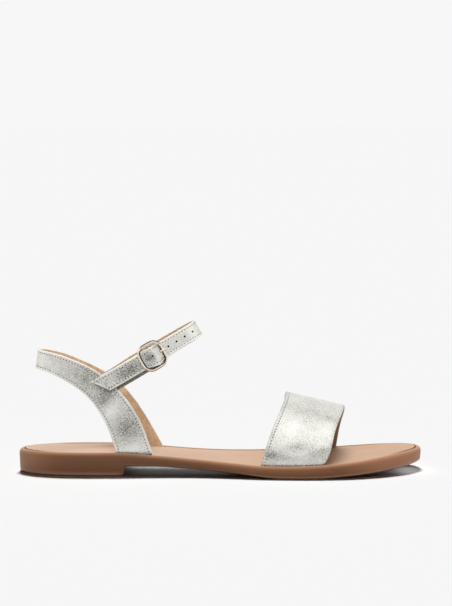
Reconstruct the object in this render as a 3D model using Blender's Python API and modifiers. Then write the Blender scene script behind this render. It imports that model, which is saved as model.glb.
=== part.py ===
"""Flat ankle-strap sandal for the right foot, built as its maker puts it together.

A moulded unit sole holds an insole inside its raised rim.  A broad vamp strap and a heel strap stand
between the insole's edge and that rim.  The ankle strap and the buckle tab are sewn into the heel strap,
so those three are one joined solid.  A centre-bar buckle with a prong closes the ankle strap.

Frame: +X to the toe, +Y to the inner (medial) side of the foot, +Z up, floor at z = 0.
Sizes below are in millimetres; Blender units are metres, and MM turns one into the other.
"""

import math
from collections import namedtuple

import bmesh
import bpy
import numpy as np
from mathutils import Matrix, Vector

MM = 0.001
GAP = 0.3  # clearance between neighbouring pieces

# Sole: overall size and wall
SOLE_LENGTH = 252.4
HEEL_BREAST_X = -60.0  # front face of the heel block
HEEL_BREAST_SLOPE = 0.3  # length over which the breast face drops
RIM_WIDTH = 3.0
RIM_EDGE_RADIUS = 1.6
RIM_INNER_CHAMFER = 0.3
TREAD_EDGE = 1.2  # chamfer round the tread
WALL_TAPER = 0.4  # the wall leans in towards the floor
RECESS_DEPTH = 3.1
SOLE_STATIONS = 56

# Insole
INSOLE_DROP = 0.6  # its top lies this far under the rim
INSOLE_EDGE = 0.5

# Straps
STRAP_THICKNESS = 1.8
HEEL_AXIS_Y = -4.0  # centre line of heel and ankle
HEEL_HALF_WIDTH = 22.8  # outer face of the heel strap
HEEL_ROUND = 80.0  # length of the elliptic heel curve
FOOT_BLEND_LOW, FOOT_BLEND_HIGH = 15.0, 32.0  # heights between which the strap leaves the rim's line

# Vamp strap
VAMP_RIDGE_Y = 3.5
VAMP_LATERAL_POWER, VAMP_MEDIAL_POWER = 2.15, 2.4
VAMP_FRONT_TUCK, VAMP_REAR_FLARE = 1.6, 1.0  # its corners at the outer foot, which both lie further back
VAMP_TUCK_HEIGHT = 2.4

# Ankle strap, in the plane of its loop: a runs along the foot from the buckle's bar, w across the strap
ANKLE_SLOPE = math.radians(30.0)
ANKLE_WIDTH = 10.6
ANKLE_THICKNESS = 1.4
ANKLE_TOE_IN = math.radians(14.0)  # the two sides of the loop close in towards the front
ANKLE_RUN_Y = -18.1  # straight run on the buckle's side, level with the bar
ANKLE_MIDDLE_Y = -1.1
ANKLE_FRONT_A = 32.3
ANKLE_LEAVE_A, ANKLE_RUN_A = -29.0, -15.0  # where the ends leave the heel strap, and where they run straight
ANKLE_ROOT_A = -37.0
ANKLE_ROOT_DROP = 1.6  # the sewn end sits lower than the buckled one
TIP_LONG_A, TIP_SHORT_A = -40.6, -32.5  # slanted cut of the free end, upper and lower corner

# Buckle, in its own axes: t along the strap, n away from the ankle, w across the strap
BUCKLE_X, BUCKLE_Z = -42.6, 73.65
BUCKLE_HALF_LENGTH, BUCKLE_HALF_WIDTH = 7.5, 8.1
BUCKLE_ROUNDNESS = 3.2
RAIL_RADIUS = 0.7
RAIL_N = 2.6
BAR_RADIUS = 0.6
BAR_HALF_WIDTH = 7.4
STRAP_N = 0.9  # strap centre under the rails
STRAP_RISE = 1.9  # and how much it climbs over the bar
STRAP_RISE_REACH = 5.8
TAB_THICKNESS = 1.2
TAB_N = -0.7
TAB_WIDTH, TAB_W = 13.0, -0.95
TAB_ROOT_A = -36.0
TAB_LOOP_RADIUS = 1.7
TAB_BORE_RADIUS = 0.9
TAB_SLOT_WIDTH = 1.6
PRONG_RADIUS = 0.45
PRONG_HOOK_RADIUS = 1.35
PRONG_SLOT_T, PRONG_SLOT_LENGTH, PRONG_SLOT_WIDTH = 4.6, 3.4, 1.6
HOLE_T, HOLE_PITCH = 5.9, 6.0
HOLE_RADIUS = 0.65
HOLE_STEPS = (-1, 1, 2, 3, 4)  # holes in pitches from the one that the prong is in

Outline = namedtuple("Outline", "x lateral medial")
SOLE_OUTLINE = [
    Outline(-126.2, -4.0, -4.0),
    Outline(-121.0, -16.6, 8.6),
    Outline(-114.0, -22.6, 14.6),
    Outline(-104.0, -27.1, 19.1),
    Outline(-88.0, -30.0, 22.1),
    Outline(-66.0, -30.2, 22.6),
    Outline(-40.0, -29.6, 23.0),
    Outline(-16.0, -31.4, 24.2),
    Outline(0.0, -34.8, 27.6),
    Outline(12.0, -38.3, 32.4),
    Outline(25.0, -42.0, 38.4),
    Outline(41.0, -44.0, 42.9),
    Outline(60.0, -43.8, 44.2),
    Outline(77.0, -40.4, 43.0),
    Outline(92.0, -34.0, 39.6),
    Outline(105.0, -25.0, 34.9),
    Outline(115.0, -15.2, 29.6),
    Outline(121.0, -7.4, 24.3),
    Outline(126.2, 8.5, 8.5),
]

Level = namedtuple("Level", "x z")
RIM_TOP = [
    Level(-126.2, 14.4),
    Level(-66.0, 14.2),
    Level(-39.0, 12.4),
    Level(-16.5, 10.5),
    Level(11.5, 8.5),
    Level(26.0, 7.7),
    Level(41.0, 7.6),
    Level(65.0, 8.4),
    Level(85.0, 10.0),
    Level(105.0, 12.1),
    Level(117.5, 13.2),
    Level(126.2, 13.9),
]
SHANK_BOTTOM = [
    Level(-60.0, 5.8),
    Level(-39.0, 5.6),
    Level(-17.0, 4.2),
    Level(0.0, 3.0),
    Level(12.0, 2.0),
    Level(25.0, 0.7),
    Level(36.0, 0.0),
    Level(58.0, 0.0),
    Level(75.0, 0.7),
    Level(90.0, 1.6),
    Level(105.0, 2.8),
    Level(117.0, 4.1),
    Level(126.2, 5.3),
]

# Heel strap, one row a section from the back of the heel to the foot: its upper and lower edge
Section = namedtuple("Section", "upper_x upper_z lower_x lower_z medial_shift medial_drop")
HEEL_STRAP = [
    Section(-114.3, 76.6, -116.0, 64.3, 0.0, 0.0),
    Section(-108.7, 75.8, -110.6, 63.3, 0.0, 0.3),
    Section(-99.4, 73.8, -103.1, 60.7, 0.0, 0.9),
    Section(-90.3, 70.7, -95.9, 57.3, 0.0, 1.7),
    Section(-81.4, 66.9, -88.9, 53.2, 0.0, 2.1),
    Section(-73.8, 62.3, -82.9, 48.3, 0.0, 1.7),
    Section(-66.3, 56.0, -77.9, 42.8, 0.0, 1.0),
    Section(-59.1, 48.4, -73.9, 36.5, 0.0, 0.3),
    Section(-53.1, 39.6, -70.4, 29.8, 0.6, 0.0),
    Section(-48.1, 29.8, -67.6, 23.0, 1.8, 0.0),
    Section(-44.4, 20.0, -65.7, 17.0, 3.6, 0.0),
    Section(-42.1, 12.9, -64.7, 14.0, 5.0, 0.0),
    Section(-41.3, 9.8, -64.3, 11.6, 5.4, 0.0),
]

# Vamp strap, one row an edge: where its feet and its ridge are;
# the two leans say how it bows forward on its way up
Edge = namedtuple("Edge", "lateral_x ridge_x medial_x ridge_z lateral_lean medial_lean lateral_bow medial_bow")
VAMP_REAR = Edge(25.2, 41.0, 36.0, 48.5, 1.45, 0.85, 0.0, 0.0)
VAMP_FRONT = Edge(64.9, 77.2, 74.1, 39.6, 1.45, 0.7, 0.85, 2.1)

# Prong from its hook round the bar to its tip on the front rail, in the buckle's axes
Bend = namedtuple("Bend", "t n")
PRONG_RUN = [
    Bend(1.9, -0.5),
    Bend(3.4, 0.2),
    Bend(4.5, 1.45),
    Bend(5.3, 2.7),
    Bend(6.1, 3.7),
    Bend(7.1, 4.2),
    Bend(8.2, 4.1),
    Bend(9.1, 3.8),
]

SILVER_LEATHER = ("silver_leather", (0.71, 0.70, 0.66), 0.38, 0.75)
TAN_INSOLE = ("tan_insole", (0.66, 0.46, 0.34), 0.6, 0.0)
BROWN_RUBBER = ("brown_rubber", (0.27, 0.125, 0.065), 0.5, 0.0)
PALE_GOLD = ("pale_gold", (0.86, 0.70, 0.56), 0.18, 1.0)


# Curves through tables


def smooth_through(knots, values):
    """A curve through the table's rows that never overshoots them."""
    knots = np.asarray(knots, float)
    values = np.asarray(values, float)
    steps = np.diff(knots)
    slopes = np.diff(values) / steps
    tangents = np.zeros_like(values)
    tangents[0], tangents[-1] = slopes[0], slopes[-1]
    for i in range(1, len(values) - 1):
        if slopes[i - 1] * slopes[i] > 0:
            before, after = 2 * steps[i] + steps[i - 1], steps[i] + 2 * steps[i - 1]
            tangents[i] = (before + after) / (before / slopes[i - 1] + after / slopes[i])

    def at(x):
        x = np.clip(np.asarray(x, float), knots[0], knots[-1])
        i = np.clip(np.searchsorted(knots, x) - 1, 0, len(steps) - 1)
        t = (x - knots[i]) / steps[i]
        start = (1 + 2 * t) * (1 - t) ** 2 * values[i] + t * (1 - t) ** 2 * steps[i] * tangents[i]
        end = t * t * (3 - 2 * t) * values[i + 1] + t * t * (t - 1) * steps[i] * tangents[i + 1]
        return start + end

    return at


def closed_through(knots, values, period):
    """A smooth closed curve through the table's rows."""
    knots = np.asarray(knots, float)
    values = np.asarray(values, float)
    count = len(knots)
    steps = np.diff(np.append(knots, knots[0] + period))
    slopes = (np.roll(values, -1) - values) / steps
    matrix = np.zeros((count, count))
    for i in range(count):
        matrix[i, i - 1] = steps[i - 1]
        matrix[i, i] = 2 * (steps[i - 1] + steps[i])
        matrix[i, (i + 1) % count] = steps[i]
    bends = np.linalg.solve(matrix, 6 * (slopes - np.roll(slopes, 1)))

    def at(x):
        x = (np.asarray(x, float) - knots[0]) % period + knots[0]
        i = np.searchsorted(knots, x, side="right") - 1
        j = (i + 1) % count
        near, far = x - knots[i], knots[i] + steps[i] - x
        cubic = (bends[i] * far**3 + bends[j] * near**3) / (6 * steps[i])
        linear_near = (values[j] / steps[i] - bends[j] * steps[i] / 6) * near
        linear_far = (values[i] / steps[i] - bends[i] * steps[i] / 6) * far
        return cubic + linear_near + linear_far

    return at


def angle_of(x):
    """Angle round the outline: 0 at the heel's end, pi at the toe."""
    return math.acos(max(-1.0, min(1.0, -2 * x / SOLE_LENGTH)))


def sole_outline():
    """Side distance as a closed function of the angle round the sole."""
    lateral = [(angle_of(row.x), row.lateral) for row in SOLE_OUTLINE]
    medial = [(2 * math.pi - angle_of(row.x), row.medial) for row in SOLE_OUTLINE[-2:0:-1]]
    angles, sides = zip(*lateral, *medial)
    return closed_through(angles, sides, 2 * math.pi)


outline_y = sole_outline()
rim_top = smooth_through(*zip(*RIM_TOP))
shank_bottom = smooth_through(*zip(*SHANK_BOTTOM))


def sole_bottom(x):
    """Underside: on the floor under the heel block, arched in front of its breast."""
    behind = np.asarray(x) < HEEL_BREAST_X - HEEL_BREAST_SLOPE / 2
    return np.where(behind, 0.0, shank_bottom(x))


def outline_points(angles, inset):
    """Plan points of the sole outline, moved inwards by inset."""
    step = 1e-4
    x = -SOLE_LENGTH / 2 * np.cos(angles)
    y = outline_y(angles)
    dx = SOLE_LENGTH / 2 * np.sin(angles)
    dy = (outline_y(angles + step) - outline_y(angles - step)) / (2 * step)
    length = np.hypot(dx, dy)
    return np.stack([x - dy / length * inset, y + dx / length * inset], -1)


def station_angles():
    """Angles round the sole, lateral side first, with a pair of stations at the heel breast."""
    even = np.linspace(0, math.pi, SOLE_STATIONS + 1)
    behind, ahead = angle_of(HEEL_BREAST_X - HEEL_BREAST_SLOPE), angle_of(HEEL_BREAST_X)
    spacing = even[1]
    kept = even[np.abs(even - behind) > spacing / 2]
    half = np.sort(np.concatenate([kept, [behind, ahead]]))
    return np.concatenate([half, 2 * math.pi - half[-2:0:-1]])


def side_of_sole(x, side, inset):
    """Side distance of the outline, moved in by inset, at a place x along the foot; side is -1 or 1."""
    angles = np.linspace(0.05, math.pi - 0.05, 400)
    if side > 0:
        angles = 2 * math.pi - angles
    points = outline_points(angles, inset)
    return np.interp(x, points[:, 0], points[:, 1])


# Blender helpers


def clear_scene():
    for obj in list(bpy.data.objects):
        bpy.data.objects.remove(obj)


def new_collection(name):
    collection = bpy.data.collections.new(name)
    bpy.context.scene.collection.children.link(collection)
    return collection


def material(name, colour, roughness, metallic):
    made = bpy.data.materials.new(name)
    made.use_nodes = True
    shader = made.node_tree.nodes["Principled BSDF"]
    shader.inputs["Base Color"].default_value = (*colour, 1.0)
    shader.inputs["Roughness"].default_value = roughness
    shader.inputs["Metallic"].default_value = metallic
    return made


def add_object(name, mesh, collection, finish=None):
    obj = bpy.data.objects.new(name, mesh)
    collection.objects.link(obj)
    if finish:
        mesh.materials.append(finish)
    return obj


def add_helper(name, mesh):
    """A cutter, or a solid that is joined into another: drawn as wire and left out of the model."""
    obj = add_object(name, mesh, HELPERS)
    obj.hide_render = True
    obj.display_type = "WIRE"
    return obj


def mesh_from(bm, name):
    bm.normal_update()
    bmesh.ops.recalc_face_normals(bm, faces=bm.faces)
    bmesh.ops.scale(bm, vec=Vector((MM, MM, MM)), verts=bm.verts)
    mesh = bpy.data.meshes.new(name)
    bm.to_mesh(mesh)
    bm.free()
    mesh.shade_smooth()
    mesh.set_sharp_from_angle(angle=math.radians(35))
    return mesh


def add_ring(bm, points):
    """A closed loop of edges through the points."""
    verts = [bm.verts.new(point) for point in points]
    return [bm.edges.new((a, b)) for a, b in zip(verts, verts[1:] + verts[:1])], verts


def ladder(bm, verts):
    """Fills a loop that is long in X by rungs between its two sides, from the heel's end to the toe."""
    half = len(verts) // 2
    near, far = verts[: half + 1], [verts[0]] + verts[:half - 1:-1]
    for i in range(half):
        corners = [near[i], near[i + 1], far[i + 1], far[i]]
        bm.faces.new(list(dict.fromkeys(corners)))


def loft(rings, name):
    """A closed solid through rings of equal length, with both ends filled."""
    bm = bmesh.new()
    loops = [add_ring(bm, points) for points in rings]
    for (edges, _), (next_edges, _) in zip(loops, loops[1:]):
        bmesh.ops.bridge_loops(bm, edges=edges + next_edges)
    ladder(bm, loops[0][1])
    ladder(bm, loops[-1][1])
    return mesh_from(bm, name)


def sheet(points, name):
    """An open grid through rows of points."""
    rows, columns = points.shape[:2]
    bm = bmesh.new()
    bmesh.ops.create_grid(bm, x_segments=columns - 1, y_segments=rows - 1, size=1.0)
    bm.verts.ensure_lookup_table()
    for vert, point in zip(bm.verts, points.reshape(-1, 3)):
        vert.co = point
    bmesh.ops.scale(bm, vec=Vector((MM, MM, MM)), verts=bm.verts)
    mesh = bpy.data.meshes.new(name)
    bm.to_mesh(mesh)
    bm.free()
    return mesh


def thicken(obj, thickness, offset=-1.0):
    """Gives an open sheet its wall; offset -1 grows it from the outer face inwards."""
    wall = obj.modifiers.new("wall", "SOLIDIFY")
    wall.thickness = thickness * MM
    wall.offset = offset
    wall.use_even_offset = True


def combine(obj, other, operation):
    cut = obj.modifiers.new(operation.lower() + "_" + other.name, "BOOLEAN")
    cut.operation = operation
    cut.object = other


def rod(name, start, end, radius, sides=12):
    """A straight round rod between two points."""
    start, end = Vector(start), Vector(end)
    axis = end - start
    bm = bmesh.new()
    bmesh.ops.create_cone(
        bm, cap_ends=True, segments=sides, radius1=radius, radius2=radius, depth=axis.length
    )
    turn = axis.to_track_quat("Z", "Y").to_matrix().to_4x4()
    bmesh.ops.transform(bm, matrix=Matrix.Translation((start + end) / 2) @ turn, verts=bm.verts)
    return mesh_from(bm, name)


def wire(name, points, radius, closed=False):
    """A bent round wire along the points, as a mesh with its caps welded on."""
    curve = bpy.data.curves.new(name, "CURVE")
    curve.dimensions = "3D"
    curve.bevel_depth = radius * MM
    curve.bevel_resolution = 2
    curve.use_fill_caps = True
    line = curve.splines.new("POLY")
    line.points.add(len(points) - 1)
    line.use_cyclic_u = closed
    for place, point in zip(line.points, points):
        place.co = (*(Vector(point) * MM), 1.0)
    guide = bpy.data.objects.new(name, curve)
    bpy.context.scene.collection.objects.link(guide)
    graph = bpy.context.evaluated_depsgraph_get()
    mesh = bpy.data.meshes.new_from_object(guide.evaluated_get(graph))
    bpy.data.objects.remove(guide)
    bm = bmesh.new()
    bm.from_mesh(mesh)
    bmesh.ops.remove_doubles(bm, verts=bm.verts, dist=1e-6)
    bmesh.ops.recalc_face_normals(bm, faces=bm.faces)
    bm.to_mesh(mesh)
    bm.free()
    mesh.shade_smooth()
    return mesh


# Sole and insole


def ring_at(inset, heights):
    """Outline points moved in by inset, at the heights worked out for them."""
    plan = outline_points(ANGLES, inset)
    return [(x, y, z) for (x, y), z in zip(plan, heights(plan[:, 0]))]


def build_outsole():
    floor = sole_bottom(-SOLE_LENGTH / 2 * np.cos(ANGLES))
    soft = 1 - math.sqrt(0.5)
    rings = [
        ring_at(WALL_TAPER + TREAD_EDGE, lambda x: floor),
        ring_at(WALL_TAPER + TREAD_EDGE * soft, lambda x: floor + TREAD_EDGE * soft),
        ring_at(WALL_TAPER, lambda x: floor + TREAD_EDGE),
        ring_at(0, lambda x: rim_top(x) - RIM_EDGE_RADIUS),
        ring_at(RIM_EDGE_RADIUS * soft, lambda x: rim_top(x) - RIM_EDGE_RADIUS * soft),
        ring_at(RIM_EDGE_RADIUS, rim_top),
        ring_at(RIM_WIDTH - RIM_INNER_CHAMFER, rim_top),
        ring_at(RIM_WIDTH, lambda x: rim_top(x) - RIM_INNER_CHAMFER),
        ring_at(RIM_WIDTH, lambda x: rim_top(x) - RECESS_DEPTH),
    ]
    return add_object("outsole", loft(rings, "outsole"), SANDAL, material(*BROWN_RUBBER))


def foot_cutter(name, side, rear_x, front_x):
    """A curtain round the place where a strap stands, to notch the insole for it."""
    x = np.linspace(rear_x, front_x, 9)
    y = side_of_sole(x, side, RIM_WIDTH + GAP)
    rows = [np.stack([x, y, rim_top(x) + z], -1) for z in (-RECESS_DEPTH - 1, RECESS_DEPTH)]
    cutter = add_helper(name, sheet(np.array(rows if side < 0 else rows[::-1]), name))
    outside = STRAP_THICKNESS
    inside = STRAP_THICKNESS + GAP
    thicken(cutter, inside + outside, offset=(outside - inside) / (inside + outside))
    return cutter


def build_insole():
    inset = RIM_WIDTH + GAP
    rings = [
        ring_at(inset, lambda x: rim_top(x) - RECESS_DEPTH + GAP),
        ring_at(inset, lambda x: rim_top(x) - INSOLE_DROP - INSOLE_EDGE),
        ring_at(inset + INSOLE_EDGE, lambda x: rim_top(x) - INSOLE_DROP),
    ]
    insole = add_object("insole", loft(rings, "insole"), SANDAL, material(*TAN_INSOLE))
    heel_foot = HEEL_STRAP[-1]
    heel_shift = heel_foot.medial_shift
    feet = [
        ("heel_notch_lateral", -1, heel_foot.lower_x - 1.6, heel_foot.upper_x + 1.0),
        ("heel_notch_medial", 1, heel_foot.lower_x + heel_shift - 2.0, heel_foot.upper_x + heel_shift + 1.0),
        (
            "vamp_notch_lateral",
            -1,
            VAMP_REAR.lateral_x - VAMP_REAR_FLARE - 0.6,
            VAMP_FRONT.lateral_x - VAMP_FRONT_TUCK + 0.6,
        ),
        ("vamp_notch_medial", 1, VAMP_REAR.medial_x - 0.6, VAMP_FRONT.medial_x + 1.2),
    ]
    for name, side, rear_x, front_x in feet:
        combine(insole, foot_cutter(name, side, rear_x, front_x), "DIFFERENCE")
    return insole


# Vamp strap


def arch(u, power_lateral, power_medial):
    """Share of half-width (-1 to 1) and of height (0 to 1) at u, from the lateral foot to the medial one."""
    angle = math.pi * u
    power = power_lateral if u < 0.5 else power_medial
    across = math.copysign(abs(math.cos(angle)) ** (2 / power), math.cos(angle))
    return -across, math.sin(angle) ** (2 / power)


def vamp_point(u, v):
    """Outer face of the vamp strap: u from the lateral to the medial foot, v from rear to front edge."""
    edge = Edge(*((1 - v) * rear + v * front for rear, front in zip(VAMP_REAR, VAMP_FRONT)))
    across, rise = arch(u, VAMP_LATERAL_POWER, VAMP_MEDIAL_POWER)
    side = -1 if u < 0.5 else 1
    foot_x = edge.lateral_x if side < 0 else edge.medial_x
    foot_y = float(side_of_sole(foot_x, side, RIM_WIDTH + GAP))
    foot_z = float(rim_top(foot_x))
    z = foot_z + (edge.ridge_z - foot_z) * rise
    corners = VAMP_FRONT_TUCK * v**6 + VAMP_REAR_FLARE * (1 - v) ** 6
    tuck = corners * math.exp(-(z - foot_z) / VAMP_TUCK_HEIGHT) if side < 0 else 0.0
    lean = edge.lateral_lean if side < 0 else edge.medial_lean
    bow = edge.lateral_bow * math.sin(2 * math.pi * rise)
    if side > 0:
        bow = edge.medial_bow * math.sin(math.pi * abs(across) ** 1.5)
    x = foot_x + (edge.ridge_x - foot_x) * rise**lean + bow - tuck
    y = VAMP_RIDGE_Y + abs(foot_y - VAMP_RIDGE_Y) * across
    return (x, y, z)


def build_vamp_strap():
    across = np.linspace(0, 1, 8)
    along = np.linspace(0, 1, 37)
    rows = [[vamp_point(u, v) for v in across] for u in along]
    for row, end in ((rows[0], 0), (rows[-1], len(rows) + 1)):
        buried = [(x, y, float(rim_top(x)) - RECESS_DEPTH + GAP) for x, y, _ in row]
        rows.insert(end, buried)
    strap = add_object("vamp_strap", sheet(np.array(rows), "vamp_strap"), SANDAL, material(*SILVER_LEATHER))
    thicken(strap, STRAP_THICKNESS)
    return strap


# Heel strap, ankle strap and buckle tab, joined


def heel_back_x(z):
    """The back of the heel leans: where the strap's outer face passes the centre line at height z."""
    back = HEEL_STRAP[0]
    lean = (back.upper_x - back.lower_x) / (back.upper_z - back.lower_z)
    return back.lower_x + lean * (z - back.lower_z)


def heel_half_width(x, z, side):
    """Side distance of the heel strap's outer face from the heel's centre line."""
    forward = min(max(x - heel_back_x(z), 0.0), HEEL_ROUND)
    last = HEEL_HALF_WIDTH * math.sqrt(1 - (1 - forward / HEEL_ROUND) ** 2)
    rim = abs(float(side_of_sole(x, side, RIM_WIDTH + GAP)) - HEEL_AXIS_Y)
    share = min(max((z - FOOT_BLEND_LOW) / (FOOT_BLEND_HIGH - FOOT_BLEND_LOW), 0.0), 1.0)
    share = share * share * (3 - 2 * share)
    return rim + (last - rim) * share


def build_heel_strap():
    count = len(HEEL_STRAP)
    knots = np.arange(1 - count, count)
    whole = np.array(HEEL_STRAP[:0:-1] + HEEL_STRAP)
    columns = Section(*(smooth_through(knots, column) for column in whole.T))
    rows = []
    for s in np.linspace(knots[0], knots[-1], 61):
        side = -1 if s < 0 else 1
        at = Section(*(float(column(s)) for column in columns))
        row = []
        for v in np.linspace(0, 1, 6):
            shift, drop = (at.medial_shift, at.medial_drop) if side > 0 else (0.0, 0.0)
            x = (1 - v) * at.lower_x + v * at.upper_x + shift
            z = (1 - v) * at.lower_z + v * at.upper_z - drop
            row.append((x, HEEL_AXIS_Y + side * heel_half_width(x, z, side), z))
        rows.append(row)
    name = "heel_and_ankle_straps"
    strap = add_object(name, sheet(np.array(rows), name), SANDAL, material(*SILVER_LEATHER))
    thicken(strap, STRAP_THICKNESS)
    return strap


def to_ankle(a, y, w):
    """A point of the ankle strap's loop as a point of the shoe."""
    x = BUCKLE_X + a * math.cos(ANKLE_SLOPE) - w * math.sin(ANKLE_SLOPE)
    z = BUCKLE_Z + a * math.sin(ANKLE_SLOPE) + w * math.cos(ANKLE_SLOPE)
    return (x, HEEL_AXIS_Y + y, z)


def loop_size():
    """Length of the straight run from the bar, and radius of the bend at the front."""
    sine, cosine = math.sin(ANKLE_TOE_IN), math.cos(ANKLE_TOE_IN)
    side = ANKLE_MIDDLE_Y - ANKLE_RUN_Y - ANKLE_FRONT_A * math.tan(ANKLE_TOE_IN)
    radius = side * cosine / (1 - sine)
    return (ANKLE_FRONT_A - radius + radius * sine) / cosine, radius


def loop_place(t):
    """Centre line (a, y) of the loop, t along it from the bar: straight, round the front, straight back."""
    run, radius = loop_size()
    bend = math.pi - 2 * ANKLE_TOE_IN
    turned = min(max(t - run, 0.0) / radius, bend)
    back = max(t - run - bend * radius, 0.0)
    heading = ANKLE_TOE_IN + turned
    sine, cosine = math.sin(ANKLE_TOE_IN), math.cos(ANKLE_TOE_IN)
    a = (min(t, run) - back) * cosine + radius * (math.sin(heading) - sine)
    y = ANKLE_RUN_Y + (min(t, run) + back) * sine + radius * (cosine - math.cos(heading))
    return a, y, heading


def to_buckle(t, n, w):
    """A point in the buckle's axes, whose origin is the middle of its bar, as a point of the shoe."""
    away = n - STRAP_N
    a = t * math.cos(ANKLE_TOE_IN) + away * math.sin(ANKLE_TOE_IN)
    y = ANKLE_RUN_Y + t * math.sin(ANKLE_TOE_IN) - away * math.cos(ANKLE_TOE_IN)
    return to_ankle(a, y, w)


def lying_y(a, w, side, away):
    """Side distance of a layer whose middle is that far outside the heel strap's outer face."""
    x, _, z = to_ankle(a, 0, w)
    return side * (heel_half_width(x, z, side) + away)


def end_point(a, w, side, away, run_y):
    """A strap's end: along the heel strap as far as ANKLE_LEAVE_A, then easing into its straight run."""
    if a <= ANKLE_LEAVE_A:
        return to_ankle(a, lying_y(a, w, side, away), w)
    reach = ANKLE_RUN_A - ANKLE_LEAVE_A
    start = lying_y(ANKLE_LEAVE_A, w, side, away)
    start_slope = (start - lying_y(ANKLE_LEAVE_A - 1, w, side, away)) * reach
    end_slope = -side * math.tan(ANKLE_TOE_IN) * reach
    t = (a - ANKLE_LEAVE_A) / reach
    blend = t * t * (3 - 2 * t)
    bow = t * (1 - t) ** 2 * start_slope - t * t * (1 - t) * end_slope
    return to_ankle(a, start + (run_y - start) * blend + bow, w)


def ankle_rows():
    """Middle face of the ankle strap, from the free tip round the front to the sewn end."""
    widths = np.linspace(-ANKLE_WIDTH / 2, ANKLE_WIDTH / 2, 5)
    run, radius = loop_size()
    cosine = math.cos(ANKLE_TOE_IN)
    first = ANKLE_RUN_A / cosine
    front = run + radius * (math.pi / 2 - ANKLE_TOE_IN)
    last = 2 * front - first
    resting = GAP + ANKLE_THICKNESS / 2
    sewn = -STRAP_THICKNESS / 2
    lateral_y, medial_y = loop_place(first)[1], loop_place(last)[1]

    def drop(a):
        return ANKLE_ROOT_DROP * min((ANKLE_FRONT_A - a) / (ANKLE_FRONT_A - ANKLE_LEAVE_A), 1.0) ** 2

    rows = []
    for share in np.linspace(0, 1, 7):
        row = []
        for w in widths:
            cut = TIP_SHORT_A + (w / ANKLE_WIDTH + 0.5) * (TIP_LONG_A - TIP_SHORT_A)
            row.append(end_point(cut + (ANKLE_LEAVE_A - cut) * share, w, -1, resting, lateral_y))
        rows.append(row)
    for a in np.linspace(ANKLE_LEAVE_A, ANKLE_RUN_A, 7)[1:-1]:
        rows.append([end_point(a, w, -1, resting, lateral_y) for w in widths])
    bumps = np.linspace(-STRAP_RISE_REACH, STRAP_RISE_REACH, 13)
    bend = np.linspace(run, 2 * front - run, 17)
    plain = np.linspace(STRAP_RISE_REACH, run, 6)[1:-1]
    for t in np.concatenate([[first], bumps, plain, bend, np.linspace(2 * front - run, last, 8)[1:]]):
        a, y, heading = loop_place(t)
        rise = 0.0
        if abs(t) < STRAP_RISE_REACH:
            rise = STRAP_RISE * math.cos(math.pi * t / (2 * STRAP_RISE_REACH)) ** 2
        lower = drop(a) if t > front else 0.0
        a, y = a + rise * math.sin(heading), y - rise * math.cos(heading)
        rows.append([to_ankle(a, y, w - lower) for w in widths])
    for a in np.linspace(ANKLE_RUN_A, ANKLE_LEAVE_A, 7)[1:]:
        rows.append([end_point(a, w - drop(a), 1, sewn, medial_y) for w in widths])
    for a in np.linspace(ANKLE_LEAVE_A, ANKLE_ROOT_A, 4)[1:]:
        rows.append([end_point(a, w - drop(a), 1, sewn, medial_y) for w in widths])
    return np.array(rows)


def build_joined_straps():
    strap = build_heel_strap()
    ankle = add_helper("ankle_strap", sheet(ankle_rows(), "ankle_strap"))
    thicken(ankle, ANKLE_THICKNESS, offset=0.0)
    for cutter in strap_holes():
        combine(ankle, cutter, "DIFFERENCE")
    combine(strap, ankle, "UNION")
    combine(strap, build_buckle_tab(), "UNION")
    return strap


def strap_holes():
    """Cutters for the punched holes and for the slot that the prong is in."""
    depth = 4.0
    cutters = []
    for step in HOLE_STEPS:
        a, y, heading = loop_place(HOLE_T + HOLE_PITCH * step)
        across = (math.sin(heading) * depth, -math.cos(heading) * depth)
        ends = [to_ankle(a + side * across[0], y + side * across[1], 0) for side in (-1, 1)]
        cutters.append(add_helper(f"hole_{step}", rod(f"hole_{step}", *ends, HOLE_RADIUS, sides=10)))
    slot = (PRONG_SLOT_T, PRONG_SLOT_LENGTH, PRONG_SLOT_WIDTH, STRAP_N, depth)
    return cutters + [box_in_buckle("prong_slot", *slot)]


def box_in_buckle(name, t, length, width, n, depth):
    """A box cutter laid along the strap, in the buckle's axes."""
    bm = bmesh.new()
    bmesh.ops.create_cube(bm, size=1.0)
    for vert in bm.verts:
        along, away, across = vert.co
        vert.co = to_buckle(t + along * length, n + away * depth, across * width)
    return add_helper(name, mesh_from(bm, name))


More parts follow.
